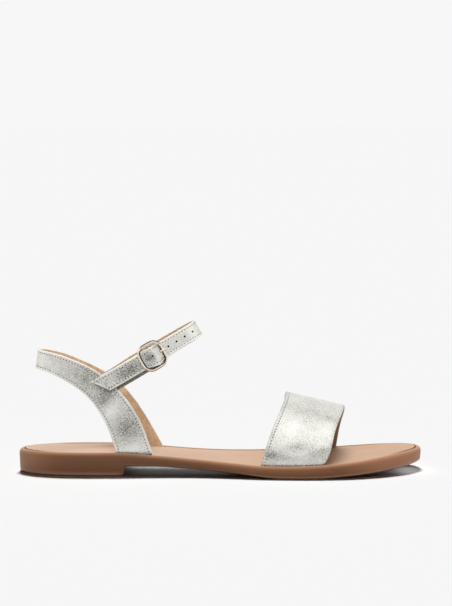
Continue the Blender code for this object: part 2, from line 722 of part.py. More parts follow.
def build_buckle_tab():
    """The short strap that holds the buckle: sewn into the heel strap, wrapped round the bar."""
    widths = np.linspace(-TAB_WIDTH / 2, TAB_WIDTH / 2, 5) + TAB_W
    sewn = -STRAP_THICKNESS / 2
    run_y = loop_place(ANKLE_RUN_A / math.cos(ANKLE_TOE_IN))[1]
    run_y += (STRAP_N - TAB_N) / math.cos(ANKLE_TOE_IN)
    sewn_a = np.linspace(TAB_ROOT_A, ANKLE_LEAVE_A, 4)
    free_a = np.linspace(ANKLE_LEAVE_A, ANKLE_RUN_A, 7)[1:]
    rows = [[end_point(a, w, -1, sewn, run_y) for w in widths] for a in np.append(sewn_a, free_a)]
    rows += [[to_buckle(t, TAB_N, w) for w in widths] for t in np.linspace(-14.0, -0.5, 6)]
    tab = add_helper("buckle_tab", sheet(np.array(rows), "buckle_tab"))
    thicken(tab, TAB_THICKNESS, offset=0.0)
    low, high = TAB_W - TAB_WIDTH / 2, TAB_W + TAB_WIDTH / 2
    loop = rod("tab_loop", to_buckle(0, 0, low + 0.1), to_buckle(0, 0, high - 0.1), TAB_LOOP_RADIUS, sides=20)
    bore = rod("tab_bore", to_buckle(0, 0, low - 2), to_buckle(0, 0, high + 2), TAB_BORE_RADIUS, sides=16)
    combine(tab, add_helper("tab_loop", loop), "UNION")
    combine(tab, add_helper("tab_bore", bore), "DIFFERENCE")
    slot_length = 2 * TAB_LOOP_RADIUS + 2.0
    combine(tab, box_in_buckle("tab_slot", 0.0, slot_length, TAB_SLOT_WIDTH, 0.0, slot_length), "DIFFERENCE")
    return tab


# Buckle


def frame_point(angle):
    """A point of the buckle's rounded-square frame, in its own axes."""
    reach = 2 / BUCKLE_ROUNDNESS
    t = math.copysign(abs(math.cos(angle)) ** reach, math.cos(angle)) * BUCKLE_HALF_LENGTH
    w = math.copysign(abs(math.sin(angle)) ** reach, math.sin(angle)) * BUCKLE_HALF_WIDTH
    return to_buckle(t, RAIL_N, w)


def build_buckle_frame():
    """Frame and centre bar in one casting; the bar's ends step back from the arms."""
    angles = np.linspace(0, 2 * math.pi, 48, endpoint=False)
    finish = material(*PALE_GOLD)
    ring = wire("buckle_frame", [frame_point(angle) for angle in angles], RAIL_RADIUS, closed=True)
    frame = add_object("buckle_frame", ring, SANDAL, finish)
    leg = [(BUCKLE_HALF_WIDTH, RAIL_N - 0.2), (BUCKLE_HALF_WIDTH, RAIL_N / 2), (BAR_HALF_WIDTH, 0.0)]
    path = [to_buckle(0, n, w) for w, n in leg] + [to_buckle(0, n, -w) for w, n in reversed(leg)]
    combine(frame, add_helper("buckle_bar", wire("buckle_bar", path, BAR_RADIUS)), "UNION")
    return frame


def build_prong():
    """A wire hooked round the bar, out through the strap and over the front rail."""
    hook = [
        (PRONG_HOOK_RADIUS * math.cos(angle), PRONG_HOOK_RADIUS * math.sin(angle))
        for angle in np.radians(np.linspace(75, 300, 13))
    ]
    path = [to_buckle(t, n, 0) for t, n in hook + PRONG_RUN]
    return add_object("buckle_prong", wire("buckle_prong", path, PRONG_RADIUS), SANDAL, material(*PALE_GOLD))


clear_scene()
SANDAL = new_collection("flat_sandal")
HELPERS = new_collection("cutters")
ANGLES = station_angles()
build_outsole()
build_insole()
build_vamp_strap()
build_joined_straps()
build_buckle_frame()
build_prong()
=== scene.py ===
"""Looks of the flat ankle-strap sandal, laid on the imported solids.

Sizes are in millimetres, in the frame of the solids: +X to the toe, +Y to the inner side of the foot, +Z
up. The straps are worked out from the same tables and curves as their solids, then cut into a silver
leather face, a tan lining and rows of thread.
"""

import math
from collections import namedtuple

import bmesh
import bpy
import numpy as np
from mathutils import Matrix, Vector


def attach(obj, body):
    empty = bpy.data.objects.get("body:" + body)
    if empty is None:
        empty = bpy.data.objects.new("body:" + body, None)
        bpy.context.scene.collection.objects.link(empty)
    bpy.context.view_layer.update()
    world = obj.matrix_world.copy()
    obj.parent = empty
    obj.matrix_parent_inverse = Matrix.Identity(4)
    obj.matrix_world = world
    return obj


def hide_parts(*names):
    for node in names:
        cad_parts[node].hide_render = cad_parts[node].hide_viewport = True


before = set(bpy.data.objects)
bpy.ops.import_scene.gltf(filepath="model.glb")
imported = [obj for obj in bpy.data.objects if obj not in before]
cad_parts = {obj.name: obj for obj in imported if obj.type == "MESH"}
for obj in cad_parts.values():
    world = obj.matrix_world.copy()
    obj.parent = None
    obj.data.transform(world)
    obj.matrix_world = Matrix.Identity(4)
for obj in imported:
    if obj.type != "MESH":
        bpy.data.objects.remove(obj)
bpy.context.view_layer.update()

MM = 0.001
GAP = 0.3
QUARTER_TURN = np.radians([0.0, 22.5, 45.0, 67.5, 90.0])

# Sole and insole
SOLE_LENGTH = 252.4
HEEL_BREAST_X = -60.0
BREAST_CORNER = 1.1  # rounding at the foot and the top of the breast
RIM_WIDTH = 3.0
RIM_ROUND_IN, RIM_ROUND_DOWN = 2.2, 3.2  # the top edge is rounded this far in and down
RIM_INNER_RADIUS = 0.5
TREAD_EDGE = 1.2
WALL_TAPER = 0.4
RECESS_DEPTH = 3.1
SOLE_STATIONS = 150
INSOLE_STATIONS = 1201
INSOLE_DROP = 0.35
INSOLE_EDGE = 0.7
COVER_RINGS = (1.5, 4.0)  # further in from the cover's edge
INSOLE_END_RISE, RISE_FROM, RISE_TO = 0.8, 92.0, 116.0  # its cover is higher at heel and toe
INSOLE_END_GAP, GAP_FROM, GAP_TO = 0.45, 96.0, 122.0  # and it stands further off the rim there

# Straps
STRAP_THICKNESS = 1.8
LEATHER_SHARE = 0.6  # of a strap's thickness; the lining is the rest
LINING_SET_IN = (0.35, 0.35)  # from the strap's lower and upper edge
VAMP_LINING_SET_IN = (1.2, 0.3)
HEEL_AXIS_Y = -4.0
HEEL_HALF_WIDTH = 22.8
HEEL_ROUND = 80.0
FOOT_BLEND_LOW, FOOT_BLEND_HIGH = 15.0, 32.0
VAMP_RIDGE_Y = 3.5
VAMP_LATERAL_POWER, VAMP_MEDIAL_POWER = 2.15, 2.4
VAMP_FRONT_TUCK, VAMP_REAR_FLARE = 1.6, 1.0  # its corners at the outer foot, which both lie further back
VAMP_CORNER_POWER = 6
VAMP_TUCK_HEIGHT = 2.4
VAMP_BURIED = 2.8
BURIED_SCALE = 100  # millimetres below the foot to one step along the vamp
FINE_STATIONS = 3000
VAMP_STEP, HEEL_STEP, ANKLE_STEP, TAB_STEP = 0.55, 0.6, 0.45, 0.35  # between stations along each strap
VAMP_COLUMNS, HEEL_COLUMNS, ANKLE_COLUMNS, TAB_COLUMNS, LINING_COLUMNS = 48, 16, 12, 14, 8

# Ankle strap, in the plane of its loop
ANKLE_SLOPE = math.radians(30.0)
SLOPE_COS, SLOPE_SIN = math.cos(ANKLE_SLOPE), math.sin(ANKLE_SLOPE)
ANKLE_WIDTH = 10.6
ANKLE_THICKNESS = 1.4
ANKLE_TOE_IN = math.radians(14.0)
TOE_IN_COS, TOE_IN_SIN = math.cos(ANKLE_TOE_IN), math.sin(ANKLE_TOE_IN)
ANKLE_RUN_Y = -18.1
ANKLE_MIDDLE_Y = -1.1
ANKLE_FRONT_A = 32.3
ANKLE_LEAVE_A, ANKLE_RUN_A = -29.0, -15.0
RUN_T = ANKLE_RUN_A / TOE_IN_COS
ANKLE_ROOT_A = -37.0
ANKLE_ROOT_DROP = 1.6
TIP_LONG_A, TIP_SHORT_A = -40.6, -32.5
TIP_SLANT = math.cos(math.atan2(TIP_SHORT_A - TIP_LONG_A, ANKLE_WIDTH))
PAST_TIP = 20  # millimetres from the tip to one step along the strap, after its first leg
TIP_STATIONS = [0.004, 0.012, 0.025, 0.045, 0.07, 0.1]

# Buckle, in its own axes: t along the strap, n away from the ankle, w across the strap
BUCKLE_X, BUCKLE_Z = -42.6, 73.65
BUCKLE_HALF_LENGTH, BUCKLE_HALF_WIDTH = 7.5, 8.1
BUCKLE_ROUNDNESS = 3.2
RAIL_RADIUS = 0.7
RAIL_HALF_WIDTH = 0.95
RAIL_N = 2.6
BAR_RADIUS = 0.6
BAR_HALF_WIDTH = 7.4
BAR_SINK = 0.2  # of the bar's ends in the rails
TUBE_SIDES = 18
FRAME_CORNERS, RAIL_STEPS, HOOK_STEPS, PRONG_STEPS = 144, 120, 25, 70
STRAP_N = 0.9
STRAP_RISE = 1.9
STRAP_RISE_REACH = 5.8
PRESS_T, PRESS_REACH = 2.0, 5.6  # pressed flat and wide inside the frame
PRESS_WIDEN, PRESS_DROP = 0.19, 0.7
TAB_THICKNESS = 0.62
TAB_UPPER_N, TAB_LOWER_N = -0.36, -1.0
TAB_WIDTH, TAB_W = 13.0, -0.95
TAB_ROOT_A = -36.0
TAB_END_T = -10.0
TAB_RISE_T, TAB_CLOSE_T = 5.0, 4.0  # how far behind the bar its two layers bend
TAB_LOOP_RADIUS = 1.25  # middle of the leather, round the bar
TAB_TURN_START, TAB_TURN = math.radians(150.0), math.radians(270.0)
TAB_SLOT_LENGTH, TAB_SLOT_WIDTH, TAB_SLOT_DEPTH = 5.5, 1.6, 6.0
PRONG_RADIUS = 0.55
PRONG_TIP_SHARE, PRONG_TIP_LENGTH = 0.55, 0.8
PRONG_HOOK_RADIUS = 1.35
PRONG_HOOK_FROM, PRONG_HOOK_TO = 75, 300  # degrees round the bar
PRONG_SLOT_T, PRONG_SLOT_LENGTH, PRONG_SLOT_WIDTH = 6.2, 1.4, 1.4
HOLE_T, HOLE_PITCH = 5.9, 6.0
HOLE_RADIUS = 0.65
HOLE_SIDES = 24
HOLE_WEB = 0.12
HOLE_STEPS = (-1, 1, 2, 3, 4)
CUT_REACH = 4.0  # how far a cutter reaches from the strap's middle

# Stitching
STITCH_START = 1.0
STITCH_PITCH = 2.0
STITCH_LENGTH = 1.35
THREAD_WIDTH = 0.46
THREAD_HEIGHT = 0.34
THREAD_LIFT = 0.02
GROOVE_DEPTH, GROOVE_REACH = 0.10, 0.4
PUFF_HEIGHT, PUFF_REACH, PUFF_OFF = 0.10, 0.5, 0.9
HEEL_STITCH_IN = 1.9
ANKLE_STITCH_IN = 1.7
TIP_POINTS = 40
TIP_STITCHES = 1  # room that the rows along the edges leave for the row along the tip
VAMP_STITCH_IN = 2.2
NO_ROW = 9.0  # further from a stitch row than any mark of it reaches

# Studio
BACKDROP = 0.93
FILL = 0.015  # even light on matt surfaces
PAPER = 0.91
FLOOR_SIZE = 20000.0
CAMERA_LENS, CAMERA_FAR = 152.85, 100.0
CAMERA_PLACE = (0.0032, -1.60485, 0.2334)  # in metres
CAMERA_DIP = 4.58  # degrees below level
# Spread and tilt in degrees: a lamp stands that far off straight above, to the backdrop if below 0
Lamp = namedtuple("Lamp", "name strength spread tilt")
LAMPS = [
    Lamp("overhead", 2.0, 30.0, -12.0),
    Lamp("front_fill", 1.5, 40.0, 50.0),
    Lamp("dome", 0.33, 150.0, 0.0),
]
FLOOR_LAMP = Lamp("floor_light", 4.3, 14.0, -43.0)

# Small lamps under the arch and the toe, in place of the light that creeps in there
Glow = namedtuple("Glow", "name x y z length width power")
GLOWS = [
    Glow("arch_back_glow", -26.0, 16.0, 6.0, 60.0, 22.0, 0.0020),
    Glow("arch_glow", -24.0, 0.0, 6.0, 60.0, 46.0, 0.0005),
    Glow("toe_glow", 118.0, -6.0, 8.0, 12.0, 30.0, 0.0007),
]


# Tables


def table(kind, *rows):
    """Rows of numbers, each with its columns named."""
    return [kind(*row) for row in rows]


Outline = namedtuple("Outline", "x lateral medial")
SOLE_OUTLINE = table(
    Outline,
    (-126.2, -4.0, -4.0), (-121.0, -16.6, 8.6), (-114.0, -22.6, 14.6), (-104.0, -27.1, 19.1),
    (-88.0, -30.0, 22.1), (-66.0, -30.2, 22.6), (-40.0, -29.6, 23.0), (-16.0, -31.4, 24.2),
    (0.0, -34.8, 27.6), (12.0, -38.3, 32.4), (25.0, -42.0, 38.4), (41.0, -44.0, 42.9),
    (60.0, -43.8, 44.2), (77.0, -40.4, 43.0), (92.0, -34.0, 39.6), (105.0, -25.0, 34.9),
    (115.0, -15.2, 29.6), (121.0, -7.4, 24.3), (126.2, 8.5, 8.5),
)

Level = namedtuple("Level", "x z")
RIM_TOP = table(
    Level,
    (-126.2, 14.4), (-66.0, 14.2), (-39.0, 12.4), (-16.5, 10.5), (11.5, 8.5), (26.0, 7.7),
    (41.0, 7.6), (65.0, 8.4), (85.0, 10.0), (105.0, 12.1), (117.5, 13.2), (126.2, 13.9),
)
SHANK_BOTTOM = table(
    Level,
    (-60.0, 5.8), (-39.0, 5.6), (-17.0, 4.2), (0.0, 3.0), (12.0, 2.0), (25.0, 0.7), (36.0, 0.0),
    (58.0, 0.0), (75.0, 0.7), (90.0, 1.6), (105.0, 2.8), (117.0, 4.1), (126.2, 5.3),
)

Section = namedtuple("Section", "upper_x upper_z lower_x lower_z medial_shift medial_drop")
HEEL_STRAP = table(
    Section,
    (-114.3, 76.6, -116.0, 64.3, 0.0, 0.0), (-108.7, 75.8, -110.6, 63.3, 0.0, 0.3),
    (-99.4, 73.8, -103.1, 60.7, 0.0, 0.9), (-90.3, 70.7, -95.9, 57.3, 0.0, 1.7),
    (-81.4, 66.9, -88.9, 53.2, 0.0, 2.1), (-73.8, 62.3, -82.9, 48.3, 0.0, 1.7),
    (-66.3, 56.0, -77.9, 42.8, 0.0, 1.0), (-59.1, 48.4, -73.9, 36.5, 0.0, 0.3),
    (-53.1, 39.6, -70.4, 29.8, 0.6, 0.0), (-48.1, 29.8, -67.6, 23.0, 1.8, 0.0),
    (-44.4, 20.0, -65.7, 17.0, 3.6, 0.0), (-42.1, 12.9, -64.7, 14.0, 5.0, 0.0),
    (-41.3, 9.8, -64.3, 11.6, 5.4, 0.0),
)

EDGE_SIZES = "lateral_x ridge_x medial_x ridge_z lateral_lean medial_lean lateral_bow medial_bow"
Edge = namedtuple("Edge", EDGE_SIZES)
VAMP_REAR = Edge(25.2, 41.0, 36.0, 48.5, 1.45, 0.85, 0.0, 0.0)
VAMP_FRONT = Edge(64.9, 77.2, 74.1, 39.6, 1.45, 0.7, 0.85, 2.1)

Bend = namedtuple("Bend", "t n")
PRONG_RUN = table(
    Bend,
    (1.9, -0.5), (3.6, -0.1), (5.7, 0.1), (6.1, 1.6), (6.25, 2.8), (6.55, 3.75), (7.2, 4.25),
    (8.3, 4.15), (9.2, 3.85),
)

# Painted light and shade on the foil: lighter (below 0) and darker patches, among them painted shadows at
# the straps' feet and under the ankle strap's tip, as places on a strap and how far they reach
Patch = namedtuple("Patch", "along across long wide shade")
VAMP_PATCHES = table(
    Patch,
    (2.8, 20.0, 1.0, 60.0, 0.6), (9.0, 4.4, 2.0, 3.2, 0.55), (8.0, 11.0, 2.2, 7.0, 0.18),
    (15.0, 22.0, 2.6, 6.0, 0.16), (6.5, 29.0, 2.0, 4.0, 0.10), (11.5, 35.5, 3.0, 3.0, 0.22),
    (5.5, 22.0, 3.5, 12.0, -0.14), (10.5, 19.0, 2.5, 8.0, -0.12), (28.0, 20.0, 9.0, 60.0, -0.07),
    (44.0, 12.0, 4.0, 14.0, 0.07), (40.0, 28.0, 4.0, 12.0, 0.11), (62.0, 20.0, 9.0, 60.0, 0.02),
)
HEEL_PATCHES = table(
    Patch,
    (3.0, 11.0, 0.9, 40.0, 0.6), (6.0, 10.0, 3.5, 12.0, -0.20), (19.0, 12.0, 7.0, 8.0, 0.40),
    (34.0, 7.0, 4.0, 5.0, -0.16), (43.0, 10.5, 4.5, 8.0, 0.40), (57.0, 9.0, 9.0, 9.0, 0.28),
    (88.0, 6.0, 16.0, 20.0, -0.08),
)
ANKLE_PATCHES = table(
    Patch,
    (20.0, 4.9, 10.0, 4.4, 0.52), (35.6, 6.6, 2.8, 3.0, 0.65), (8.0, 5.5, 4.0, 4.0, -0.08),
    (42.0, 5.0, 3.0, 4.0, -0.15), (62.0, 5.3, 18.0, 12.0, -0.34), (76.0, 5.0, 7.0, 20.0, 0.24),
)
# Painted shade: the buckle tab is darkened all over, as it lies in shade under the ankle strap
TAB_PATCHES = table(Patch, (10.0, 0.0, 60.0, 6.0, 1.2))
TIP_SHADE, TIP_SHADE_REACH = 0.55, 2.0
TIP_SHADE_FROM, TIP_SHADE_TO = -5.0, 1.0  # how far below the ankle strap's middle it starts, and is full
EDGE_TONE = (-0.35, 0.6)  # the foil shines on the turned edges: how dark, and how far in
VAMP_EDGE_TONE = (0.12, 1.5)  # on the vamp the edges are darker instead

# Creases: a soft trough (depth above 0) or ridge (below 0) between two places on a strap,
# each given as millimetres along it and across it
Crease = namedtuple("Crease", "along across to_along to_across width depth")
VAMP_CREASES = table(
    Crease,
    (9.0, 2.0, 8.0, 9.0, 2.4, 0.24), (12.5, 17.0, 16.5, 25.0, 3.0, 0.16),
    (14.5, 4.0, 16.5, 13.0, 3.2, -0.14), (8.0, 28.0, 11.5, 36.0, 2.8, 0.16),
    (42.0, 3.0, 46.0, 36.0, 5.0, 0.12),
)
HEEL_CREASES = table(
    Crease,
    (15.0, -4.0, 12.0, 26.0, 4.5, -0.30), (29.0, -2.0, 25.0, 24.0, 5.0, 0.55),
    (42.0, -2.0, 38.0, 22.0, 4.5, -0.45), (53.0, -2.0, 51.0, 18.0, 4.0, 0.35),
)


# Curves


def blend(low, high, share):
    return low + (high - low) * share


def bent(t, start, end, start_slope=0.0, end_slope=0.0):
    """A smooth run from start to end as t goes from 0 to 1, with the given slopes at both."""
    rise = blend(start, end, t * t * (3 - 2 * t))
    return rise + t * (1 - t) ** 2 * start_slope - t * t * (1 - t) * end_slope


def smooth_through(knots, values):
    """A curve through the table's rows that never overshoots them."""
    knots = np.asarray(knots, float)
    values = np.asarray(values, float)
    steps = np.diff(knots)
    slopes = np.diff(values) / steps
    tangents = np.zeros_like(values)
    tangents[0], tangents[-1] = slopes[0], slopes[-1]
    for i in range(1, len(values) - 1):
        if slopes[i - 1] * slopes[i] > 0:
            before, after = 2 * steps[i] + steps[i - 1], steps[i] + 2 * steps[i - 1]
            tangents[i] = (before + after) / (before / slopes[i - 1] + after / slopes[i])

    def at(x):
        x = np.clip(np.asarray(x, float), knots[0], knots[-1])
        i = np.clip(np.searchsorted(knots, x) - 1, 0, len(steps) - 1)
        step = steps[i]
        t = (x - knots[i]) / step
        return bent(t, values[i], values[i + 1], step * tangents[i], step * tangents[i + 1])

    return at


def closed_through(knots, values, period):
    """A smooth closed curve through the table's rows."""
    knots = np.asarray(knots, float)
    values = np.asarray(values, float)
    count = len(knots)
    steps = np.diff(np.append(knots, knots[0] + period))
    slopes = (np.roll(values, -1) - values) / steps
    matrix = np.zeros((count, count))
    for i in range(count):
        matrix[i, i - 1] = steps[i - 1]
        matrix[i, i] = 2 * (steps[i - 1] + steps[i])
        matrix[i, (i + 1) % count] = steps[i]
    bends = np.linalg.solve(matrix, 6 * (slopes - np.roll(slopes, 1)))

    def at(x):
        x = (np.asarray(x, float) - knots[0]) % period + knots[0]
        i = np.searchsorted(knots, x, side="right") - 1
        j = (i + 1) % count
        near, far = x - knots[i], knots[i] + steps[i] - x
        cubic = (bends[i] * far**3 + bends[j] * near**3) / (6 * steps[i])
        linear_near = (values[j] / steps[i] - bends[j] * steps[i] / 6) * near
        linear_far = (values[i] / steps[i] - bends[i] * steps[i] / 6) * far
        return cubic + linear_near + linear_far

    return at


def eased(value, low, high):
    """Smooth share of the way from low to high."""
    return bent(np.clip((value - low) / (high - low), 0.0, 1.0), 0.0, 1.0)


def falloff(distance, reach):
    """A soft bell: 1 at no distance, and near 0 from twice the reach on."""
    return np.exp(-((distance / reach) ** 2))


def unit(vectors):
    return vectors / np.linalg.norm(vectors, axis=-1, keepdims=True)


def squared_off(wave, power):
    """A sine or cosine with squarer shoulders, for a rounded box in place of a circle."""
    return np.sign(wave) * np.abs(wave) ** (2 / power)


def passed(k, leg):
    """How far along a leg of a strap the place k is, 0 to 1."""
    return np.clip(k - leg, 0, 1)


def lengths_along(points):
    """Running length of a line of points."""
    steps = np.linalg.norm(np.diff(points, axis=0), axis=1)
    return np.concatenate([[0.0], np.cumsum(steps)])


def points_at(places, length, points):
    """Points at places along a line of points whose running length is given."""
    return np.stack([np.interp(places, length, points[:, axis]) for axis in range(3)], -1)


# Sole curves


def angle_of(x):
    """Angle round the outline: 0 at the heel's end, pi at the toe."""
    return np.arccos(np.clip(-2 * np.asarray(x, float) / SOLE_LENGTH, -1.0, 1.0))


def x_of(angles):
    return -SOLE_LENGTH / 2 * np.cos(angles)


def both_sides(half):
    """Angles round the whole outline from those of its lateral half."""
    return np.concatenate([half, 2 * math.pi - half[-2:0:-1]])


def sole_outline():
    """Side distance as a closed function of the angle round the sole."""
    lateral = [(angle_of(row.x), row.lateral) for row in SOLE_OUTLINE]
    medial = [(2 * math.pi - angle_of(row.x), row.medial) for row in SOLE_OUTLINE[-2:0:-1]]
    angles, sides = zip(*lateral, *medial)
    return closed_through(angles, sides, 2 * math.pi)


outline_y = sole_outline()
rim_top = smooth_through(*zip(*RIM_TOP))
shank_bottom = smooth_through(*zip(*SHANK_BOTTOM))


def breast_round(reach):
    """Height of the breast's rounded corner, this far into it."""
    return np.sqrt(np.maximum(BREAST_CORNER**2 - np.clip(reach, 0, BREAST_CORNER) ** 2, 0))


def sole_bottom(x):
    """Underside: flat under the heel block, arched in front of its breast, whose corners are rounded."""
    low = BREAST_CORNER - breast_round(x - HEEL_BREAST_X + BREAST_CORNER)
    high = shank_bottom(x) - BREAST_CORNER + breast_round(HEEL_BREAST_X + BREAST_CORNER - x)
    return np.where(x < HEEL_BREAST_X, low, high)


def outline_points(angles, inset):
    """Plan points of the sole outline, moved inwards by inset."""
    step = 1e-4
    dx = SOLE_LENGTH / 2 * np.sin(angles)
    dy = (outline_y(angles + step) - outline_y(angles - step)) / (2 * step)
    length = np.hypot(dx, dy)
    return np.stack([x_of(angles) - dy / length * inset, outline_y(angles) + dx / length * inset], -1)


def side_of_sole(x, side, inset):
    """Side distance of the outline, moved in by inset, at a place x along the foot; side is -1 or 1."""
    angles = np.linspace(0.05, math.pi - 0.05, 400)
    sides = []
    for turn in (angles, 2 * math.pi - angles):
        points = outline_points(turn, inset)
        sides.append(np.interp(x, points[:, 0], points[:, 1]))
    return np.where(np.asarray(side) < 0, *sides)


# Strap surfaces: each takes places along the strap and across it (0 at one edge, 1 at the other)


def vamp_place(u, v):
    """Outer face of the vamp strap: u from the lateral to the medial foot, v from rear to front edge."""
    edge = Edge(*(blend(rear, front, v) for rear, front in zip(VAMP_REAR, VAMP_FRONT)))
    buried = np.maximum(-u, 0) + np.maximum(u - 1, 0)
    angle = math.pi * np.clip(u, 0, 1)
    lateral = u < 0.5
    power = np.where(lateral, VAMP_LATERAL_POWER, VAMP_MEDIAL_POWER)
    across = -squared_off(np.cos(angle), power)
    rise = squared_off(np.sin(angle), power)
    foot_x = np.where(lateral, edge.lateral_x, edge.medial_x)
    foot_y = side_of_sole(foot_x, np.where(lateral, -1, 1), RIM_WIDTH + GAP)
    foot_z = rim_top(foot_x)
    z = blend(foot_z, edge.ridge_z, rise)
    corners = VAMP_FRONT_TUCK * v**VAMP_CORNER_POWER + VAMP_REAR_FLARE * (1 - v) ** VAMP_CORNER_POWER
    tuck = np.where(lateral, corners * np.exp(-(z - foot_z) / VAMP_TUCK_HEIGHT), 0.0)
    lean = np.where(lateral, edge.lateral_lean, edge.medial_lean)
    lateral_bow = edge.lateral_bow * np.sin(2 * math.pi * rise)
    medial_bow = edge.medial_bow * np.sin(math.pi * np.abs(across) ** 1.5)
    bow = np.where(lateral, lateral_bow, medial_bow)
    x = blend(foot_x, edge.ridge_x, rise**lean) + bow - tuck
    y = VAMP_RIDGE_Y + np.abs(foot_y - VAMP_RIDGE_Y) * across
    return np.stack([x, y, z - BURIED_SCALE * buried], -1)


def heel_back_x(z):
    """The back of the heel leans: where the strap's outer face passes the centre line at height z."""
    back = HEEL_STRAP[0]
    lean = (back.upper_x - back.lower_x) / (back.upper_z - back.lower_z)
    return back.lower_x + lean * (z - back.lower_z)


def heel_half_width(x, z, side):
    """Side distance of the heel strap's outer face from the heel's centre line."""
    forward = np.clip(x - heel_back_x(z), 0.0, HEEL_ROUND)
    last = HEEL_HALF_WIDTH * np.sqrt(1 - (1 - forward / HEEL_ROUND) ** 2)
    rim = np.abs(side_of_sole(x, side, RIM_WIDTH + GAP) - HEEL_AXIS_Y)
    return blend(rim, last, eased(z, FOOT_BLEND_LOW, FOOT_BLEND_HIGH))


def heel_columns():
    count = len(HEEL_STRAP)
    knots = np.arange(1 - count, count)
    whole = np.array(HEEL_STRAP[:0:-1] + HEEL_STRAP)
    return Section(*(smooth_through(knots, column) for column in whole.T))


heel_column = heel_columns()


def heel_place(s, v):
    """Outer face of the heel strap: s from the lateral foot round the back to the medial one, v up."""
    side = np.where(s < 0, -1.0, 1.0)
    at = Section(*(column(s) for column in heel_column))
    medial = side > 0
    x = blend(at.lower_x, at.upper_x, v) + np.where(medial, at.medial_shift, 0.0)
    z = blend(at.lower_z, at.upper_z, v) - np.where(medial, at.medial_drop, 0.0)
    return np.stack([x, HEEL_AXIS_Y + side * heel_half_width(x, z, side), z], -1)


def to_ankle(a, y, w):
    """A point of the ankle strap's loop as a point of the shoe."""
    x = BUCKLE_X + a * SLOPE_COS - w * SLOPE_SIN
    z = BUCKLE_Z + a * SLOPE_SIN + w * SLOPE_COS
    return np.stack(np.broadcast_arrays(x, HEEL_AXIS_Y + y, z), -1)


def loop_size():
    """Length of the straight run from the bar, and radius of the bend at the front."""
    side = ANKLE_MIDDLE_Y - ANKLE_RUN_Y - ANKLE_FRONT_A * math.tan(ANKLE_TOE_IN)
    radius = side * TOE_IN_COS / (1 - TOE_IN_SIN)
    return (ANKLE_FRONT_A - radius + radius * TOE_IN_SIN) / TOE_IN_COS, radius


def loop_place(t):
    """Place (a, y) and heading of the loop's middle, t along it from the bar, round the front and back."""
    run, radius = loop_size()
    bend = math.pi - 2 * ANKLE_TOE_IN
    turned = np.clip((t - run) / radius, 0.0, bend)
    back = np.maximum(t - run - bend * radius, 0.0)
    heading = ANKLE_TOE_IN + turned
    ahead = np.minimum(t, run)
    a = (ahead - back) * TOE_IN_COS + radius * (np.sin(heading) - TOE_IN_SIN)
    y = ANKLE_RUN_Y + (ahead + back) * TOE_IN_SIN + radius * (TOE_IN_COS - np.cos(heading))
    return a, y, heading


def to_buckle(t, n, w):
    """A point in the buckle's axes, whose origin is the middle of its bar, as a point of the shoe."""
    away = n - STRAP_N
    a = t * TOE_IN_COS + away * TOE_IN_SIN
    y = ANKLE_RUN_Y + t * TOE_IN_SIN - away * TOE_IN_COS
    return to_ankle(a, y, w)


def lying_y(a, w, side, away):
    """Side distance of a layer whose middle is that far outside the heel strap's outer face."""
    place = to_ankle(a, 0.0, w)
    return side * (heel_half_width(place[..., 0], place[..., 2], side) + away)


def end_place(a, w, side, away, run_y):
    """A strap's end: along the heel strap as far as ANKLE_LEAVE_A, then easing into its straight run."""
    reach = ANKLE_RUN_A - ANKLE_LEAVE_A
    start = lying_y(ANKLE_LEAVE_A, w, side, away)
    start_slope = (start - lying_y(ANKLE_LEAVE_A - 1, w, side, away)) * reach
    end_slope = -side * math.tan(ANKLE_TOE_IN) * reach
    free = bent(np.clip((a - ANKLE_LEAVE_A) / reach, 0.0, 1.0), start, run_y, start_slope, end_slope)
    y = np.where(a <= ANKLE_LEAVE_A, lying_y(a, w, side, away), free)
    return to_ankle(a, y, w)


def tip_cut(w):
    """Where the free end is cut, across its width."""
    return blend(TIP_SHORT_A, TIP_LONG_A, w / ANKLE_WIDTH + 0.5)


def strap_rise(t):
    """How far the ankle strap is lifted over the bar."""
    return STRAP_RISE * np.cos(math.pi * np.clip(t / STRAP_RISE_REACH, -1, 1) / 2) ** 2


def root_drop(a):
    """How far the ankle strap has come down on its way back to its sewn end."""
    way = np.minimum((ANKLE_FRONT_A - a) / (ANKLE_FRONT_A - ANKLE_LEAVE_A), 1.0)
    return ANKLE_ROOT_DROP * way**2


def ankle_place(k, v):
    """Middle of the ankle strap: k is 0 at the free tip, 1 and 2 where it leaves the heel strap and runs
    straight, 3 and 4 the same on the inner side, and 5 at the sewn end; v upwards."""
    w = (v - 0.5) * ANKLE_WIDTH
    run, radius = loop_size()
    front = run + radius * (math.pi / 2 - ANKLE_TOE_IN)
    last = 2 * front - RUN_T
    lateral_y, medial_y = loop_place(RUN_T)[1], loop_place(last)[1]
    on_heel = blend(tip_cut(w), ANKLE_LEAVE_A, passed(k, 0))
    leaving = blend(ANKLE_LEAVE_A, ANKLE_RUN_A, passed(k, 1))
    outside = GAP + ANKLE_THICKNESS / 2
    lateral = end_place(np.where(k <= 1, on_heel, leaving), w, -1, outside, lateral_y)
    t = blend(RUN_T, last, passed(k, 2))
    a, y, heading = loop_place(t)
    lower = np.where(t > front, root_drop(a), 0.0)
    rise = strap_rise(t)
    press = falloff(t - PRESS_T, PRESS_REACH)
    pressed = w * (1 + PRESS_WIDEN * press) - PRESS_DROP * press
    loop = to_ankle(a + rise * np.sin(heading), y - rise * np.cos(heading), pressed - lower)
    joining = blend(blend(ANKLE_RUN_A, ANKLE_LEAVE_A, passed(k, 3)), ANKLE_ROOT_A, passed(k, 4))
    medial = end_place(joining, w - root_drop(joining), 1, -STRAP_THICKNESS / 2, medial_y)
    k = np.broadcast_to(k, w.shape)[..., None]
    return np.where(k < 2, lateral, np.where(k < 3, loop, medial))


def round_bar(share):
    """Middle of the tab's leather, that share of its way round the bar."""
    turn = TAB_TURN_START - share * TAB_TURN
    return TAB_LOOP_RADIUS * np.cos(turn), TAB_LOOP_RADIUS * np.sin(turn)


